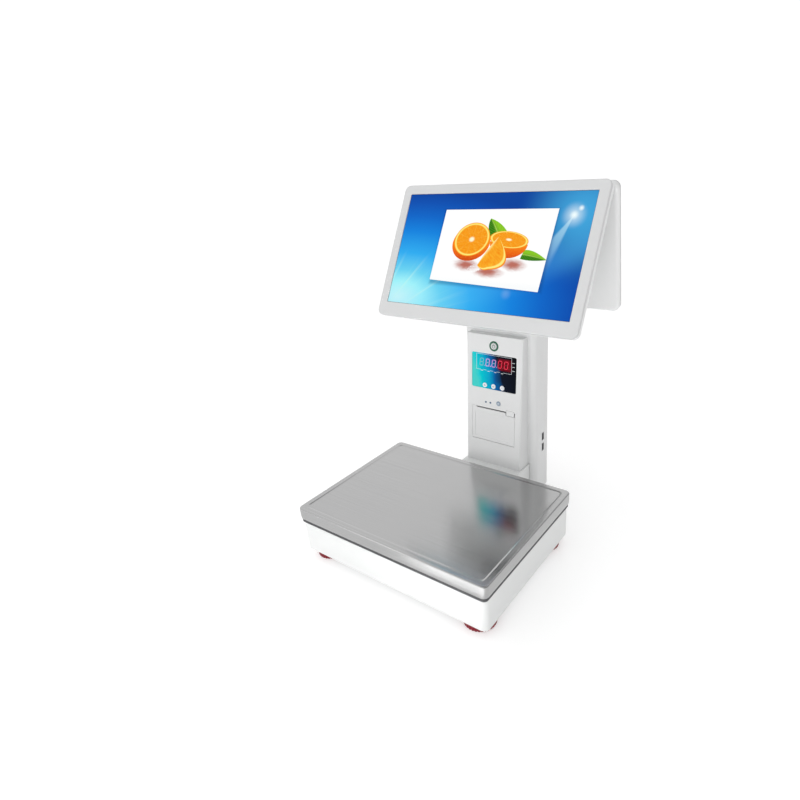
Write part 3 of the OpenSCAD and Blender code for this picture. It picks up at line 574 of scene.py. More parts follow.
# The material of each node that keeps its CAD shape
CAD_FINISHES = (
    (SUPPORT_SHADE_BLACK, "pan_support"),
    (CELL_ALU, "load_cell"),
    (BLACK_STEEL, "load_cell_bolts", "hinge_shafts"),
    (ZINC, "base_plate", "column_frame", "head_bracket", "front_hinge_plate", "rear_hinge_plate"),
    (RUBBER, "pan_buffers", "platen_roller"),
    (VIAL, "level_vial"),
    (BOARD, "scale_board", "main_board"),
    (SCREW_STEEL, "base_screws", "column_screws", "front_screws", "rear_screws", *STUDS),
    (INLET_BLACK, "power_inlet", "digit_display"),
    (SUPPLY, "power_supply"),
    (PORT_METAL, "usb_ports"),
    (INNER_PLASTIC, "printer_chassis", "label_spindle"),
    (HEAD_CERAMIC, "thermal_head"),
    (GEAR_PLASTIC, "platen_gear", "drive_gear"),
    (MOTOR, "feed_motor"),
    (PAPER, "label_roll"),
    (GLASS_EDGE, "front_glass", "front_lcd", "rear_lcd"),
    (LAMP_BLUE, "status_leds"),
)
for material, *nodes in CAD_FINISHES:
    for node in nodes:
        NODES[node].data.materials.clear()
        NODES[node].data.materials.append(material)

# ---- Weighing pan ----

# Thickness of the skirt and of the sheet, width and height of the rim, half the width of the slope
# down to the middle, radii of the pan's corners, of the rim's inner corners and of the rounded edge,
# and how far in from the rim the middle is meshed as one flat face
PAN_WALL = 2.4
PAN_SHEET = 1.2
PAN_RIM = 11
PAN_STEP = 0.8
STEP_HALF = 1.8
PAN_CORNER = 9
RIM_CORNER = 7
PAN_EDGE = 2.6
PAN_FLAT = 40


def weighing_pan():
    """One pressed sheet: hemmed skirt, rounded edge, raised rim and a soft step down to the middle."""
    low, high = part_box("weighing_pan")
    w, d = (high.x - low.x) / MM, (high.y - low.y) / MM
    bottom, top = low.z / MM, high.z / MM
    hem = [(2.3, 0.5), (1.9, 0.1), (1.4, 0.0), (0.9, 0.25), (0.55, 1.0), (0.3, 3.0), (0.1, 6.0), (0.0, 9.0)]
    profile = [(inset, bottom + z) for inset, z in hem] + [(0.0, top - PAN_EDGE - 0.6)]
    for a in range(0, 91, 9):
        a = math.radians(a)
        profile.append((PAN_EDGE * (1 - math.cos(a)), top - PAN_EDGE * (1 - math.sin(a))))
    profile += [(PAN_RIM * 0.5, top), (PAN_RIM - STEP_HALF, top)]
    for i in range(1, 9):
        t = i / 8
        profile.append((PAN_RIM + STEP_HALF * (2 * t - 1), top - PAN_STEP * (3 * t * t - 2 * t**3)))
    profile += [(PAN_RIM + 4, top - PAN_STEP), (PAN_RIM + PAN_FLAT, top - PAN_STEP)]
    under = top - PAN_STEP - PAN_SHEET
    inner = [(PAN_RIM + PAN_FLAT, under), (PAN_WALL + 3, under), (PAN_WALL + 1, under - 0.4)]
    inner += [(PAN_WALL, under - 1.6), (PAN_WALL, bottom + 2)]
    centre = middle_of(low, high)

    def ring(inset, z):
        radius = max(PAN_CORNER - inset, min(inset, RIM_CORNER))
        outline = rounded_ring(w - 2 * inset, d - 2 * inset, radius, 14)
        return [centre + mm(x, y, z) for x, y in outline]

    bm = bmesh.new()
    outer = skin(bm, [ring(*p) for p in profile], cap_end=True)
    inside = skin(bm, [ring(*p) for p in inner], cap_start=True)
    for i in range(len(outer[0])):
        j = (i + 1) % len(outer[0])
        bm.faces.new((inside[-1][i], inside[-1][j], outer[0][j], outer[0][i]))
    face_out(bm)
    weigh_normals(link_piece("pan_pressed_sheet", bm, "pan", PAN_STEEL, "pan_steel", ["weighing_pan"], 60))


weighing_pan()

# ---- Base, column and front panel ----

softened("base_housing", "base_casting", 0.6, WHITE_CAST, "white_casting", 3)
softened("column_shell", "column_moulding", 0.5, WHITE_SHELL, "white_shell")
softened("column_rear_cover", "rear_cover_moulding", 0.4, WHITE_SHELL, "white_shell")
softened("column_top_cap", "top_cap_moulding", 0.6, WHITE_SHELL, "white_shell")
softened("fascia_frame", "fascia_moulding", 0.7, WHITE_FRONT, "white_shell", 3)
softened("printer_door", "door_moulding", 0.35, WHITE_FRONT, "white_shell")
softened("door_latch", "latch_moulding", 0.45, WHITE_FRONT, "white_shell")

# ---- Feet ----

GROOVES = 32
GROOVE_DEPTH = 0.95
GROOVE_SHARE = 0.42
POINTS_PER_GROOVE = 8
HUB_HEIGHT = 2


def knurled_foot(corner):
    """Red screw foot: grip grooves, chamfered edges and a hub."""
    node = "foot_" + corner
    low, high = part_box(node)
    centre = middle_of(low, high)
    radius = (high.x - low.x) / 2 / MM
    top = high.z / MM
    disc = top - HUB_HEIGHT
    count = GROOVES * POINTS_PER_GROOVE

    def ring(r, z, grooved=0.0):
        points = []
        for i in range(count):
            share = (i % POINTS_PER_GROOVE) / POINTS_PER_GROOVE
            away = min(share, 1 - share) / (GROOVE_SHARE / 2)
            dip = GROOVE_DEPTH * grooved * math.sqrt(max(0.0, 1 - away * away))
            a = 2 * math.pi * i / count
            points.append(centre + mm((r - dip) * math.cos(a), (r - dip) * math.sin(a), z))
        return points

    under = [(2.4, 0.0, 0.4), (1.2, 0.0, 0.7), (0.5, 0.35, 1), (0.1, 1.0, 1), (0, 1.8, 1)]
    over = [(0, 2.0, 1), (0.15, 1.1, 1), (0.6, 0.4, 1), (1.4, 0, 0.7), (2.6, 0, 0.1)]
    hub = [(12.0, disc), (10.9, disc + 0.15), (10.2, disc + 0.7)]
    hub += [(10.0, top - 0.8), (9.8, top - 0.2), (9.2, top), (4.4, top)]
    rings = [ring(9.0, 0), ring(10.0, 0.6)]
    rings += [ring(radius - shrink, z, grooved) for shrink, z, grooved in under]
    rings += [ring(radius - shrink, disc - drop, grooved) for shrink, drop, grooved in over]
    rings += [ring(r, z) for r, z in hub]
    bm = bmesh.new()
    skin(bm, rings, cap_start=True, cap_end=True)
    face_out(bm)
    link_piece("knurled_" + node, bm, node, FOOT_RED, "foot_red", [node], 38)


for corner in CORNERS:
    knurled_foot(corner)

# ---- Display bezels and housings ----

# Sizes of the picture on both displays, the displays' corner radius, the bezels' depth and edge
# radius, how deep the glass lies, the radius of the lip round it and its gap to the picture
FRONT_PICTURE = (344.2, 193.6)
REAR_PICTURE = (309.9, 174.3)
HEAD_CORNER = 11
BEZEL_DEPTH = 5
BEZEL_FILLET = 1.8
GLASS_DEPTH = 1.3
LIP = 1.1
GLASS_GAP = 1


def bezel(name, node, matrix, picture, body):
    """Front frame of a display: rounded outside, flat face and a soft lip down to the glass."""
    low, high = local_size(node, matrix)
    w, h = high.x - low.x, high.z - low.z
    middle = (high.z + low.z) / 2
    front = low.y
    pw, ph = (side + GLASS_GAP for side in picture)

    def ring(width, height, radius, depth, centre=0.0):
        outline = rounded_ring(width, height, radius)
        return [matrix @ mm(x, front + depth, z + centre) for x, z in outline]

    rings = [ring(w, h, HEAD_CORNER, depth, middle) for depth in (BEZEL_DEPTH, BEZEL_FILLET + 0.4)]
    for i in range(9):
        a = math.radians(90 * i / 8)
        inset = BEZEL_FILLET * (1 - math.cos(a))
        depth = BEZEL_FILLET * (1 - math.sin(a))
        rings.append(ring(w - 2 * inset, h - 2 * inset, HEAD_CORNER - inset, depth, middle))
    rings.append(ring(w - 6, h - 6, HEAD_CORNER - 3, 0.0, middle))
    rings.append(ring(pw + 2 * LIP + 3, ph + 2 * LIP + 3, 2.6, 0.0))
    for i in range(7):
        a = math.radians(90 * i / 6)
        grow = LIP * (1 - math.sin(a))
        rings.append(ring(pw + 2 * grow, ph + 2 * grow, 0.8 + grow, LIP * (1 - math.cos(a))))
    rings.append(ring(pw, ph, 0.8, GLASS_DEPTH))
    rings += [ring(pw + 5, ph + 5, 1.0, depth) for depth in (GLASS_DEPTH, BEZEL_DEPTH)]
    bm = bmesh.new()
    skin(bm, rings, closed=True)
    face_out(bm)
    weigh_normals(link_piece(name, bm, body, BEZEL, "display_bezel", [node], 50))


bezel("operator_bezel", "front_bezel", FRONT, FRONT_PICTURE, "operator_display")
bezel("customer_bezel", "rear_bezel", REAR, REAR_PICTURE, "customer_display")
softened("front_shell", "operator_housing", 0.5, HEAD_SHELL, "white_shell")
softened("rear_shell", "customer_housing", 0.5, HEAD_SHELL, "white_shell")

# ---- The picture that both displays show ----

# Places on the picture run from 0 to 1 to the right and up. The card's left, right, lower and upper
# bounds, its four corners and the flare's place
PICTURE_ASPECT = 1.778
CARD = (0.238, 0.833, 0.216, 0.86)
CARD_CORNERS = ((0.2335, 0.2334), (0.8261, 0.1996), (0.8394, 0.8635), (0.2425, 0.857))
FLARE = (0.914, 0.812)


def picture_shader(name):
    """A near-black, hardly glossy surface that glows in the colour fed to it."""
    return Finish(name, (0.002, 0.002, 0.002), 0.12, Specular_IOR_Level=0.03, Emission_Strength=1.0)


def distance_to(f, u, v, at, stretch=1.0):
    """Distance on the picture from a point, in picture heights."""
    return f.reach(f.times(f.minus(u, at[0]), PICTURE_ASPECT), f.times(f.minus(v, at[1]), stretch))


def wallpaper():
    """Blue backdrop: a cyan glow in the lower left, light in the upper right, a flare and soft rays."""
    f = picture_shader("screen_wallpaper")
    u, v, _ = f.split(f.uv())
    reach = f.times(distance_to(f, u, v, (0.055, 0.05), 1.9), 0.5)
    pale = ((0.0, 208, 251, 250), (0.14, 160, 242, 250), (0.24, 104, 210, 242), (0.39, 46, 172, 240))
    deep = ((0.58, 14, 130, 222), (0.71, 7, 102, 200), (0.83, 5, 80, 178), (0.92, 3, 66, 158))
    base = f.ramp(reach, *pale, *deep)
    sky = f.smooth(distance_to(f, u, v, (0.95, 0.82)), 0.58, 0.0)
    colour = f.mix(f.times(sky, 0.8), base, srgb(72, 180, 232))
    # Rays that fan out of the lower left corner
    fan = f.calc("ARCTAN2", f.minus(v, -0.25), f.plus(f.times(u, PICTURE_ASPECT), 0.15))
    band = f.add("CombineXYZ", {"X": fan}).outputs[0]
    streak = f.smooth(f.noise(band, 9.0, 3, 0.6), 0.48, 0.72)
    near = f.smooth(reach, 0.44, 0.1)
    colour = f.mix(f.times(f.times(streak, near), 0.5), colour, srgb(206, 252, 240))
    # A faint wide sweep of light across the picture
    bend = f.plus(f.times(f.calc("POWER", u, 2.0), 0.55), 0.02)
    colour = f.mix(f.times(f.smooth(f.gap(v, bend), 0.2, 0.0), 0.16), colour, srgb(90, 190, 250))
    # A beam that falls from the flare behind the card
    across = f.times(f.minus(u, FLARE[0]), PICTURE_ASPECT)
    slope = f.calc("ARCTAN2", across, f.minus(FLARE[1], v))
    beam = f.smooth(f.gap(slope, -0.46), 0.24, 0.1)
    fade = f.smooth(distance_to(f, u, v, FLARE), 0.55, 0.05)
    colour = f.mix(f.times(f.times(beam, fade), 0.75), colour, srgb(166, 214, 238))
    # The flare itself, a small spark above it and a faint one below the card
    sparks = [((0.94, 0.866), 0.03, 0.95), ((0.672, 0.165), 0.06, 0.1)]
    for at, radius, share in [(FLARE, 0.12, 0.55), (FLARE, 0.045, 1.0), *sparks]:
        glow = f.smooth(distance_to(f, u, v, at), radius, 0.0)
        colour = f.mix(f.times(glow, share), colour, srgb(240, 253, 255))
    # The card's soft shadow
    side = f.minus(f.gap(u, (CARD[0] + CARD[1]) / 2 + 0.003), (CARD[1] - CARD[0]) / 2)
    end = f.minus(f.gap(v, (CARD[2] + CARD[3]) / 2 - 0.008), (CARD[3] - CARD[2]) / 2)
    shade = f.smooth(f.calc("MAXIMUM", f.times(side, PICTURE_ASPECT), end), 0.03, -0.01)
    colour = f.mix(f.times(shade, 0.45), colour, srgb(10, 60, 120))
    return f.glowing(colour)


def card_white():
    """White card, a little greyer along its foot."""
    f = picture_shader("screen_card")
    _, v, _ = f.split(f.uv())
    edge = f.times(f.smooth(v, 0.1, 0.0), 0.25)
    return f.glowing(f.mix(edge, (1.0, 1.0, 1.0), srgb(232, 240, 244)))


def orange_face():
    """Cut half of an orange: rind, pith, segments with thin membranes and a pale core."""
    f = picture_shader("screen_orange_face")
    x, z, _ = f.split(f.uv())
    r = f.reach(x, z)
    angle = f.calc("ARCTAN2", z, x)
    spokes = f.add("CombineXYZ", {"X": f.times(angle, 9.0), "Y": f.times(r, 4.0)}).outputs[0]
    fibres = f.noise(spokes, 2.2, 4, 0.65)
    grains = f.noise(f.uv(), 16, 4, 0.7)
    pulp = f.mix(f.spread(fibres, 0, 1), srgb(238, 122, 0), srgb(255, 172, 22))
    pulp = f.mix(f.smooth(grains, 0.5, 0.68), pulp, srgb(255, 196, 64))
    membrane = f.smooth(f.gap(f.calc("SINE", f.times(angle, 5.0)), 0.0), 0.12, 0.02)
    pulp = f.mix(f.times(membrane, 0.55), pulp, srgb(255, 206, 92))
    pulp = f.mix(f.smooth(r, 0.2, 0.07), pulp, srgb(255, 250, 214))
    pith = f.mix(f.smooth(r, 0.84, 0.9), pulp, srgb(255, 236, 120))
    rind = f.mix(f.smooth(r, 0.93, 0.985), pith, srgb(252, 150, 10))
    return f.glowing(rind)


def orange_peel():
    """Peel of the halves, lit from above and red-brown towards its foot."""
    f = picture_shader("screen_orange_peel")
    _, up, _ = f.split(f.uv())
    pores = f.noise(f.uv(), 26, 3, 0.6)
    shade = f.ramp(up, (0.0, 196, 62, 10), (0.25, 232, 92, 12), (0.6, 250, 128, 16), (1.0, 255, 158, 24))
    lighter = f.times(f.smooth(pores, 0.5, 0.7), 0.3)
    return f.glowing(f.mix(lighter, shade, srgb(255, 176, 60)))


def orange_wedge():
    """Cut wedge: fibres that run from its thin edge to the peel."""
    f = picture_shader("screen_orange_wedge")
    across, _, _ = f.split(f.uv())
    fibres = f.noise(f.place(source=f.uv(), scale=(2.0, 14.0, 1.0)), 1.6, 4, 0.65)
    pulp = f.mix(f.spread(fibres, 0, 1), srgb(244, 136, 4), srgb(255, 190, 48))
    pulp = f.mix(f.smooth(across, 0.14, 0.0), pulp, srgb(255, 232, 150))
    pith = f.mix(f.smooth(across, 0.78, 0.85), pulp, srgb(255, 238, 128))
    return f.glowing(f.mix(f.smooth(across, 0.9, 0.96), pith, srgb(250, 138, 8)))


def leaf_green():
    """Leaf with a pale midrib and side veins."""
    f = picture_shader("screen_leaf")
    across, along, _ = f.split(f.uv())
    from_rib = f.gap(across, 0.5)
    rib = f.smooth(from_rib, 0.07, 0.0)
    lean = f.minus(along, f.times(from_rib, 0.7))
    veins = f.smooth(f.calc("SINE", f.times(lean, 46.0)), 0.72, 1.0)
    side = f.smooth(across, 0.3, 0.75)
    green = f.mix(side, srgb(44, 122, 8), srgb(134, 198, 34))
    green = f.mix(f.times(veins, 0.25), green, srgb(186, 224, 90))
    return f.glowing(f.mix(f.times(rib, 0.6), green, srgb(196, 228, 110)))


def floor_glow():
    """Soft warm reflection under the fruit, fading to the white card."""
    f = picture_shader("screen_reflection")
    x, z, _ = f.split(f.uv())
    r = f.reach(x, z)
    blur = f.plus(r, f.spread(f.noise(f.uv(), 3.0, 2), -0.08, 0.08))
    warmth = f.times(f.smooth(blur, 0.95, 0.15), 0.9)
    return f.glowing(f.mix(warmth, (1.0, 1.0, 1.0), srgb(178, 72, 40)))


WALLPAPER = wallpaper()
CARD_WHITE = card_white()
ORANGE_FACE = orange_face()
ORANGE_PEEL = orange_peel()
ORANGE_WEDGE = orange_wedge()
LEAF = leaf_green()
GLOW = floor_glow()
LAYER = 0.02


def strip_piece(name, sides, matrix, depth, body, material):
    """A flat strip between two rails of points, laid out 0 to 1 across and along it."""
    left, right = sides
    bm = bmesh.new()
    layer = bm.loops.layers.uv.new("layout")
    rows = [[bm.verts.new(mm(x, depth, z)) for x, z in pair] for pair in zip(left, right)]
    last = len(rows) - 1
    for i in range(last):
        face = bm.faces.new((rows[i][0], rows[i][1], rows[i + 1][1], rows[i + 1][0]))
        start, end = i / last, (i + 1) / last
        for loop, uv in zip(face.loops, ((0, start), (1, start), (1, end), (0, end))):
            loop[layer].uv = uv
    face_out(bm)
    if sum(f.normal.y for f in bm.faces) > 0:
        bmesh.ops.reverse_faces(bm, faces=bm.faces)
    bm.transform(matrix)
    link_piece(name, bm, body, material, "screen_module")


def arc_points(start, middle, end, steps=24):
    """Points of a smooth bend from start to end that passes middle."""
    control = [2 * m - (s + e) / 2 for s, m, e in zip(start, middle, end)]
    ends = list(zip(start, control, end))
    shares = [i / steps for i in range(steps + 1)]
    return [tuple((1 - t) ** 2 * s + 2 * t * (1 - t) * c + t * t * e for s, c, e in ends) for t in shares]


def show_picture(prefix, matrix, picture, body):
    """Lays the wallpaper, the card and the fruit on a display's glass, each a hair in front of the last."""
    pw, ph = picture
    k = pw / FRONT_PICTURE[0]

    def flat(label, outline, level, material, layout):
        def scaled_layout(x, z):
            return layout(x / k, z / k)

        points = [(x * k, z * k) for x, z in outline]
        place = (matrix, -LAYER * level, body)
        flat_piece(prefix + label, points, *place, material, "screen_module", layout=scaled_layout)

    def disc(label, x, z, a, b, turn, level, material):
        t = math.radians(turn)

        def layout(px, pz):
            dx, dz = px - x, pz - z
            return ((dx * math.cos(t) + dz * math.sin(t)) / a, (dz * math.cos(t) - dx * math.sin(t)) / b)

        flat(label, ellipse(x, z, a, b, turn, 64), level, material, layout)

    def strip(label, sides, level, material):
        rails = [[(x * k, z * k) for x, z in side] for side in sides]
        strip_piece(prefix + label, rails, matrix, -LAYER * level, body, material)

    w, h = pw / k, ph / k
    flat("wallpaper", rectangle(0, 0, w, h), 1, WALLPAPER, unit_box(-w / 2, w / 2, -h / 2, h / 2))
    left, right, low, high = (CARD[i] * side - side / 2 for i, side in enumerate((w, w, h, h)))
    card = [((u - 0.5) * w, (v - 0.5) * h) for u, v in CARD_CORNERS]
    flat("card", card, 2, CARD_WHITE, unit_box(left, right, low, high))
    for label, x, z, a in (("left", -26, -23, 32), ("mid", 17, -32, 38), ("right", 60, -19, 30)):
        disc("glow_" + label, x, z, a, 13, -3, 3, GLOW)
    tip = (2.5, 54.5)
    strip("leaf_back", (arc_points((8, 22), (1.5, 40), tip), arc_points((40, 30), (24, 45), tip)), 4, LEAF)
    tip = (115, -9)
    strip("leaf_side", (arc_points((70, -9), (90, -11), tip), arc_points((74, 5), (92, 3), tip)), 4, LEAF)
    flat("peel_left", ellipse(-25.2, 13.6, 36, 30, 8, 64), 5, ORANGE_PEEL, unit_box(-62, 12, -18, 30))
    disc("face_left", -25.2, 19.4, 33.5, 27.8, 12, 6, ORANGE_FACE)
    half = ellipse(44.5, 15.5, 34, 24.5, -3, 48, 180, 360)
    flat("peel_right", half, 7, ORANGE_PEEL, unit_box(10, 82, -12, 24))
    disc("face_right", 43.5, 20.6, 35, 13.4, -6, 8, ORANGE_FACE)
    inner = arc_points((24, 24.8), (8.8, 3), (-4, -22.7), 28)
    outer = arc_points((24, 24.8), (46.5, -14), (18, -29), 20)
    outer += arc_points((18, -29), (6, -29.5), (-4, -22.7), 8)[1:]
    strip("wedge", (inner, outer), 9, ORANGE_WEDGE)


show_picture("operator_", FRONT, FRONT_PICTURE, "operator_display")
show_picture("customer_", REAR, REAR_PICTURE, "customer_display")

# ---- Weight panel ----

panel_low, panel_high = local_size("weight_panel", PANEL)
# The window's middle and size, the digits' size, pitch and slant, and their segments' width and gap
WINDOW = (0.0, 16.4, 72.0, 29.0)
DIGIT_H = 14.2
DIGIT_W = 8.0
DIGIT_PITCH = 12.6
DIGIT_SLANT = 0.12
SEGMENT = 1.2
SEGMENT_GAP = 0.22


def weight_lens():
    """Gloss lens with rounded edges, cut out round the three keys."""
    bm = node_copy("weight_panel")
    inverse = PANEL.inverted()
    layout = unit_box(panel_low.x, panel_high.x, panel_low.z, panel_high.z)
    layer = bm.loops.layers.uv.new("layout")
    for face in bm.faces:
        for loop in face.loops:
            at = inverse @ loop.vert.co / MM
            loop[layer].uv = layout(at.x, at.z)
    piece = link_piece("panel_gloss_lens", bm, "frame", LENS, "panel_lens", ["weight_panel"], 180)
    round_edges(piece, 0.35, 2, 30, "MITER_SHARP")


def segment_shapes(x, z):
    """Outlines of the seven segments of a digit centred on (x, z), named as usual."""
    hw, hh, s = DIGIT_W / 2 - SEGMENT / 2, DIGIT_H / 2 - SEGMENT / 2, SEGMENT / 2

    def bar(x0, z0, x1, z1):
        dx, dz = x1 - x0, z1 - z0
        n = math.hypot(dx, dz)
        ux, uz = dx / n, dz / n
        tip, near, far = SEGMENT_GAP, SEGMENT_GAP + s, n - SEGMENT_GAP - s
        shape = [(tip, 0), (near, s), (far, s), (n - tip, 0), (far, -s), (near, -s)]
        return [(x0 + ux * a - uz * b, z0 + uz * a + ux * b) for a, b in shape]

    ends = {
        "a": (-hw, hh, hw, hh),
        "b": (hw, hh, hw, 0),
        "c": (hw, 0, hw, -hh),
        "d": (-hw, -hh, hw, -hh),
        "e": (-hw, 0, -hw, -hh),
        "f": (-hw, hh, -hw, 0),
        "g": (-hw, 0, hw, 0),
    }
    return {
        label: [(x + px + pz * DIGIT_SLANT, z + pz) for px, pz in bar(*at)]
        for label, at in ends.items()
    }


def panel_mark(name, outline, material, slot="panel_lens"):
    flat_piece(name, outline, PANEL, -0.01, "frame", material, slot, thick=0.03)


def digits():
    """Five digits: the first unlit, the others showing 0.000."""
    for i in range(5):
        x = WINDOW[0] + (i - 2) * DIGIT_PITCH
        shown = DIGIT_WASHED if i < 3 else DIGIT_RED
        unlit = DIGIT_DARK if i > 2 else DIGIT_PALE
        for label, outline in segment_shapes(x, WINDOW[1]).items():
            on = i > 0 and label != "g"
            panel_mark(f"digit_{i + 1}_{label}", outline, shown if on else unlit, "digit_red")
        dot = ellipse(x + DIGIT_W / 2 + 1.6, WINDOW[1] - DIGIT_H / 2 + 0.9, 0.95, 0.95, 0, 20)
        panel_mark(f"digit_{i + 1}_dot", dot, shown if i == 1 else unlit, "digit_red")


def window_outline():
    """Thin white line round the digits, open where the ticks stand, and the ticks and pointers."""
    x, z, w, h = WINDOW
    line, tick_pitch, row_pitch = 0.55, 14, 7.2
    edges = [
        ("top", x, z + h / 2, w, line),
        ("left", x - w / 2, z, line, h),
        ("right", x + w / 2, z, line, h),
        ("low_left", x - w / 2 + 5, z - h / 2, 10, line),
        ("low_right", x + w / 2 - 4, z - h / 2, 8, line),
    ]
    edges += [(f"low_{i}", x + (i - 1.5) * tick_pitch + 2.5, z - h / 2, 7, line) for i in range(4)]
    edges += [(f"tick_{i}", x + (i - 1.5) * tick_pitch - 3.6, z - h / 2 - 1.6, 4.4, 1.1) for i in range(4)]
    edges += [(f"side_{i}", x + w / 2 + 4.4, z + (1 - i) * row_pitch - 1, 3.6, 0.9) for i in range(3)]
    for label, cx, cz, ew, eh in edges:
        panel_mark("window_" + label, rectangle(cx, cz, ew, eh), MARK_WHITE)
    for i in range(3):
        cx, cz = x + w / 2 + 1.7, z + (1 - i) * row_pitch - 1
        panel_mark(f"pointer_{i}", [(cx - 0.7, cz), (cx + 0.7, cz - 0.8), (cx + 0.7, cz + 0.8)], MARK_WHITE)


weight_lens()
digits()
window_outline()

# ---- Keys and buttons ----

# Radii of the keys, of the power button and of the feed button, width and depth of the collar that
# holds a button in, and the radius of the hole that is welded shut in the middle of its faces
KEY_R = 4.3
POWER_R = 6.0
FEED_R = 4.2
COLLAR = 1.2
COLLAR_DEPTH = 1.4
AXIS = 0.001


def domed_button(node, radius, material, slot, dish=0.25, edge=0.6):
    """Round button with a soft edge, a slightly hollow face and its collar. Returns the face's frame."""
    low, high = local_size(node, PANEL)
    matrix = PANEL @ Matrix.Translation(mm((low.x + high.x) / 2, low.y, (low.z + high.z) / 2))
    depth = high.y - low.y
    profile = [(AXIS, dish), (radius * 0.35, dish * 0.86), (radius * 0.7, dish * 0.32)]
    profile.append((radius - edge - 0.2, 0.02))
    for a in range(0, 91, 15):
        a = math.radians(a)
        profile.append((radius - edge + edge * math.sin(a), edge - edge * math.cos(a)))
    outer, start = radius + COLLAR, depth - 2.0
    end = start + COLLAR_DEPTH
    profile += [(radius, start), (outer, start), (outer, end), (radius, end), (radius, depth), (AXIS, depth)]
    bm = bmesh.new()
    lathe(bm, profile, matrix)
    weld(bm)
    link_piece(node + "_cap", bm, NODES[node]["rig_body"], material, slot, [node], 50)
    return matrix


def marked_key(node, shapes):
    """One of the panel's white keys, with its printed mark."""
    matrix = domed_button(node, KEY_R, KEY_WHITE, "key_white")
    body = NODES[node]["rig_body"]
    for i, outline in enumerate(shapes):
        flat_piece(f"{node}_mark_{i}", outline, matrix, 0.16, body, MARK_BLUE, "key_white", thick=0.2)


def half_rings(radius, width):
    """A ring as two arcs, so that each is a plain outline."""
    parts = []
    for start in (0, 180):
        outer = ellipse(0, 0, radius, radius, 0, 20, start, start + 180)
        inner = ellipse(0, 0, radius - width, radius - width, 0, 20, start, start + 180)
        parts.append(outer + inner[::-1])
    return parts


arrow_left = [(-2.6, 0.0), (-1.3, 0.85), (-1.3, 0.3), (-0.5, 0.3), (-0.5, -0.3), (-1.3, -0.3), (-1.3, -0.85)]
arrow_right = [(-x, z) for x, z in arrow_left][::-1]
marked_key("tare_key", [arrow_left, arrow_right, rectangle(0, 0, 0.5, 3.0)])
marked_key("zero_key", half_rings(1.5, 0.5))
marked_key("unit_key", [rectangle(0, z, 3.4, 0.5) for z in (0.9, -0.9)])


def standby_mark(matrix):
    """Generic standby sign: an open ring and an upright bar."""
    outer, inner = (ellipse(0, -0.3, r, r, 0, 40, 125, 415) for r in (3.3, 2.3))
    shapes = [[outer[i], outer[i + 1], inner[i + 1], inner[i]] for i in range(len(outer) - 1)]
    bm = bmesh.new()
    for outline in [*shapes, rectangle(0, 1.9, 1.0, 3.4)]:
        face = bm.faces.new([bm.verts.new(mm(x, 0.3, z)) for x, z in outline])
        thicken(bm, face, 0.28)
    weld(bm)
    face_out(bm)
    bm.transform(matrix)
    link_piece("standby_sign", bm, "power_button", MARK_GREEN, "ring_green")


standby_mark(domed_button("power_button", POWER_R, BUTTON_SILVER, "button_silver", 0.35, 0.9))
softened("power_ring", "power_ring_trim", 0.25, RING_GREEN, "ring_green", 2, 60)
feed_face = domed_button("feed_button", FEED_R, BUTTON_GREY, "button_grey", 0.2)
for i, width in enumerate((2.4, 3.6, 3.6)):
    line = rectangle(0, (i - 1) * 1.3, width, 0.45)
    flat_piece(f"feed_mark_{i}", line, feed_face, 0.14, "feed_button", KEY_WHITE, "button_grey", thick=0.16)

# ---- Floor, light and camera ----

# Half the floor's width, the world's light towards -X and towards +X with the directions between
# which it changes, and the direction, outer and inner edge (as cosines) and share of light of the
# dark canopy that the pan's rounded edge mirrors
FLOOR_HALF = 40.0
BRIGHT_SIDE = 1.12
SHADED_SIDE = 0.43
SIDES = (-0.35, 0.9)
CANOPY_AT = (-0.2, 0.3, 0.933)
CANOPY_EDGE = (0.93, 0.985)
CANOPY_SHADE = 0.15


def pale_floor():
    """White floor that glows a little, so that it runs into the white backdrop."""
    f = Finish("studio_floor", (0.72, 0.72, 0.72), 0.75, Emission_Color=(1, 1, 1, 1), Emission_Strength=0.43)
    f.tint(0.008, 3)
    f.feed("Roughness", f.spread(f.noise(f.place(), 12), 0.7, 0.82))
    bm = bmesh.new()
    bmesh.ops.create_grid(bm, x_segments=2, y_segments=2, size=FLOOR_HALF)
    floor = new_object("studio_floor", bm, f.mat)
    floor.location.z = -0.0002


def studio_world():
    """Shaded light from all round, in front of a backdrop that is white itself."""
    world = bpy.data.worlds.new("studio")
    world.use_nodes = True
    tree = world.node_tree
    background = tree.nodes["Background"]

    def node(kind, *sources, **settings):
        made = tree.nodes.new("ShaderNode" + kind)
        for key, value in settings.items():
            setattr(made, key, value)
        for socket, source in zip(made.inputs, sources):
            tree.links.new(source, socket)
        return made

    def faded(value, span, start, end):
        made = node("MapRange", value, interpolation_type="SMOOTHSTEP")
        for socket, number in zip(("From Min", "From Max", "To Min", "To Max"), (*span, start, end)):
            made.inputs[socket].default_value = number
        return made.outputs[0]

    towards = node("TexCoord").outputs["Generated"]
    across = node("SeparateXYZ", towards).outputs[0]
    near_canopy = node("VectorMath", towards, operation="DOT_PRODUCT")
    near_canopy.inputs[1].default_value = CANOPY_AT
    sides = faded(across, SIDES, BRIGHT_SIDE, SHADED_SIDE)
    canopy = faded(near_canopy.outputs["Value"], CANOPY_EDGE, 1.0, CANOPY_SHADE)
    light = node("Math", sides, canopy, operation="MULTIPLY").outputs[0]
    seen = node("LightPath").outputs["Is Camera Ray"]
    tree.links.new(node("Math", light, seen, operation="MAXIMUM").outputs[0], background.inputs["Strength"])
    background.inputs["Color"].default_value = (1, 1, 1, 1)
    bpy.context.scene.world = world


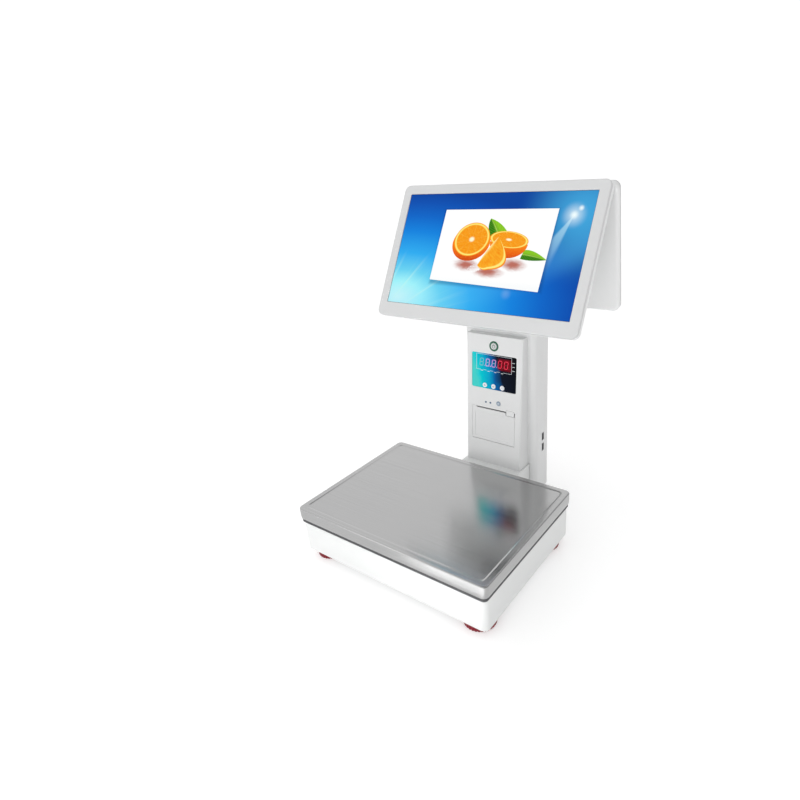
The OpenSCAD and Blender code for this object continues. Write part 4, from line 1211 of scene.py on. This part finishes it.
def soft_light(name, at, aim, size, power, spread=180):
    """A flat lamp that shines from one place towards another, within an angle in degrees."""
    light = bpy.data.lights.new(name, "AREA")
    light.shape = "RECTANGLE"
    light.size, light.size_y = size
    light.energy = power
    light.spread = math.radians(spread)
    lamp = bpy.data.objects.new(name, light)
    lamp.location = at
    lamp.rotation_euler = (Vector(aim) - Vector(at)).to_track_quat("-Z", "Y").to_euler()
    bpy.context.scene.collection.objects.link(lamp)


pale_floor()
studio_world()
soft_light("key_softbox", (1.0, -2.05, 0.8), (0, 0, 0.2), (0.9, 1.1), 7)
soft_light("front_softbox", (-0.5, -2.2, 0.75), (0, 0, 0.25), (2.2, 1.3), 7)
# A narrow pool of light on the floor, for the pan's front skirt to mirror
soft_light("floor_strip", (0.21, -0.26, 1.2), (0.21, -0.375, 0), (0.44, 0.1), 1.0, 8)

# Where the photo was taken from: place in metres, angles in degrees and the lens over a 36 mm sensor
CAMERA_AT = (0.49506, -0.68938, 0.61015)
CAMERA_AZIMUTH = 37.572
CAMERA_ELEVATION = 23.4495
CAMERA_ROLL = -4.1788
CAMERA_LENS = 25.37
CAMERA_SHIFT = -0.05


def photo_camera():
    """Camera that looks along the photo's own line of sight."""
    data = bpy.data.cameras.new("photo_view")
    data.lens = CAMERA_LENS
    data.sensor_width = 36
    data.shift_x = CAMERA_SHIFT
    data.clip_start = 0.01
    camera = bpy.data.objects.new("photo_view", data)
    az, el, roll = (math.radians(a) for a in (CAMERA_AZIMUTH, CAMERA_ELEVATION, CAMERA_ROLL))
    back = Vector((math.sin(az) * math.cos(el), -math.cos(az) * math.cos(el), math.sin(el)))
    level = Vector((math.cos(az), math.sin(az), 0))
    down = level.cross(back)
    side = math.cos(roll) * level - math.sin(roll) * down
    drop = math.sin(roll) * level + math.cos(roll) * down
    turn = Matrix((side, -drop, back)).transposed().to_4x4()
    camera.matrix_world = Matrix.Translation(CAMERA_AT) @ turn
    bpy.context.scene.collection.objects.link(camera)
    bpy.context.scene.camera = camera


photo_camera()
bpy.context.scene.view_settings.view_transform = "Standard"
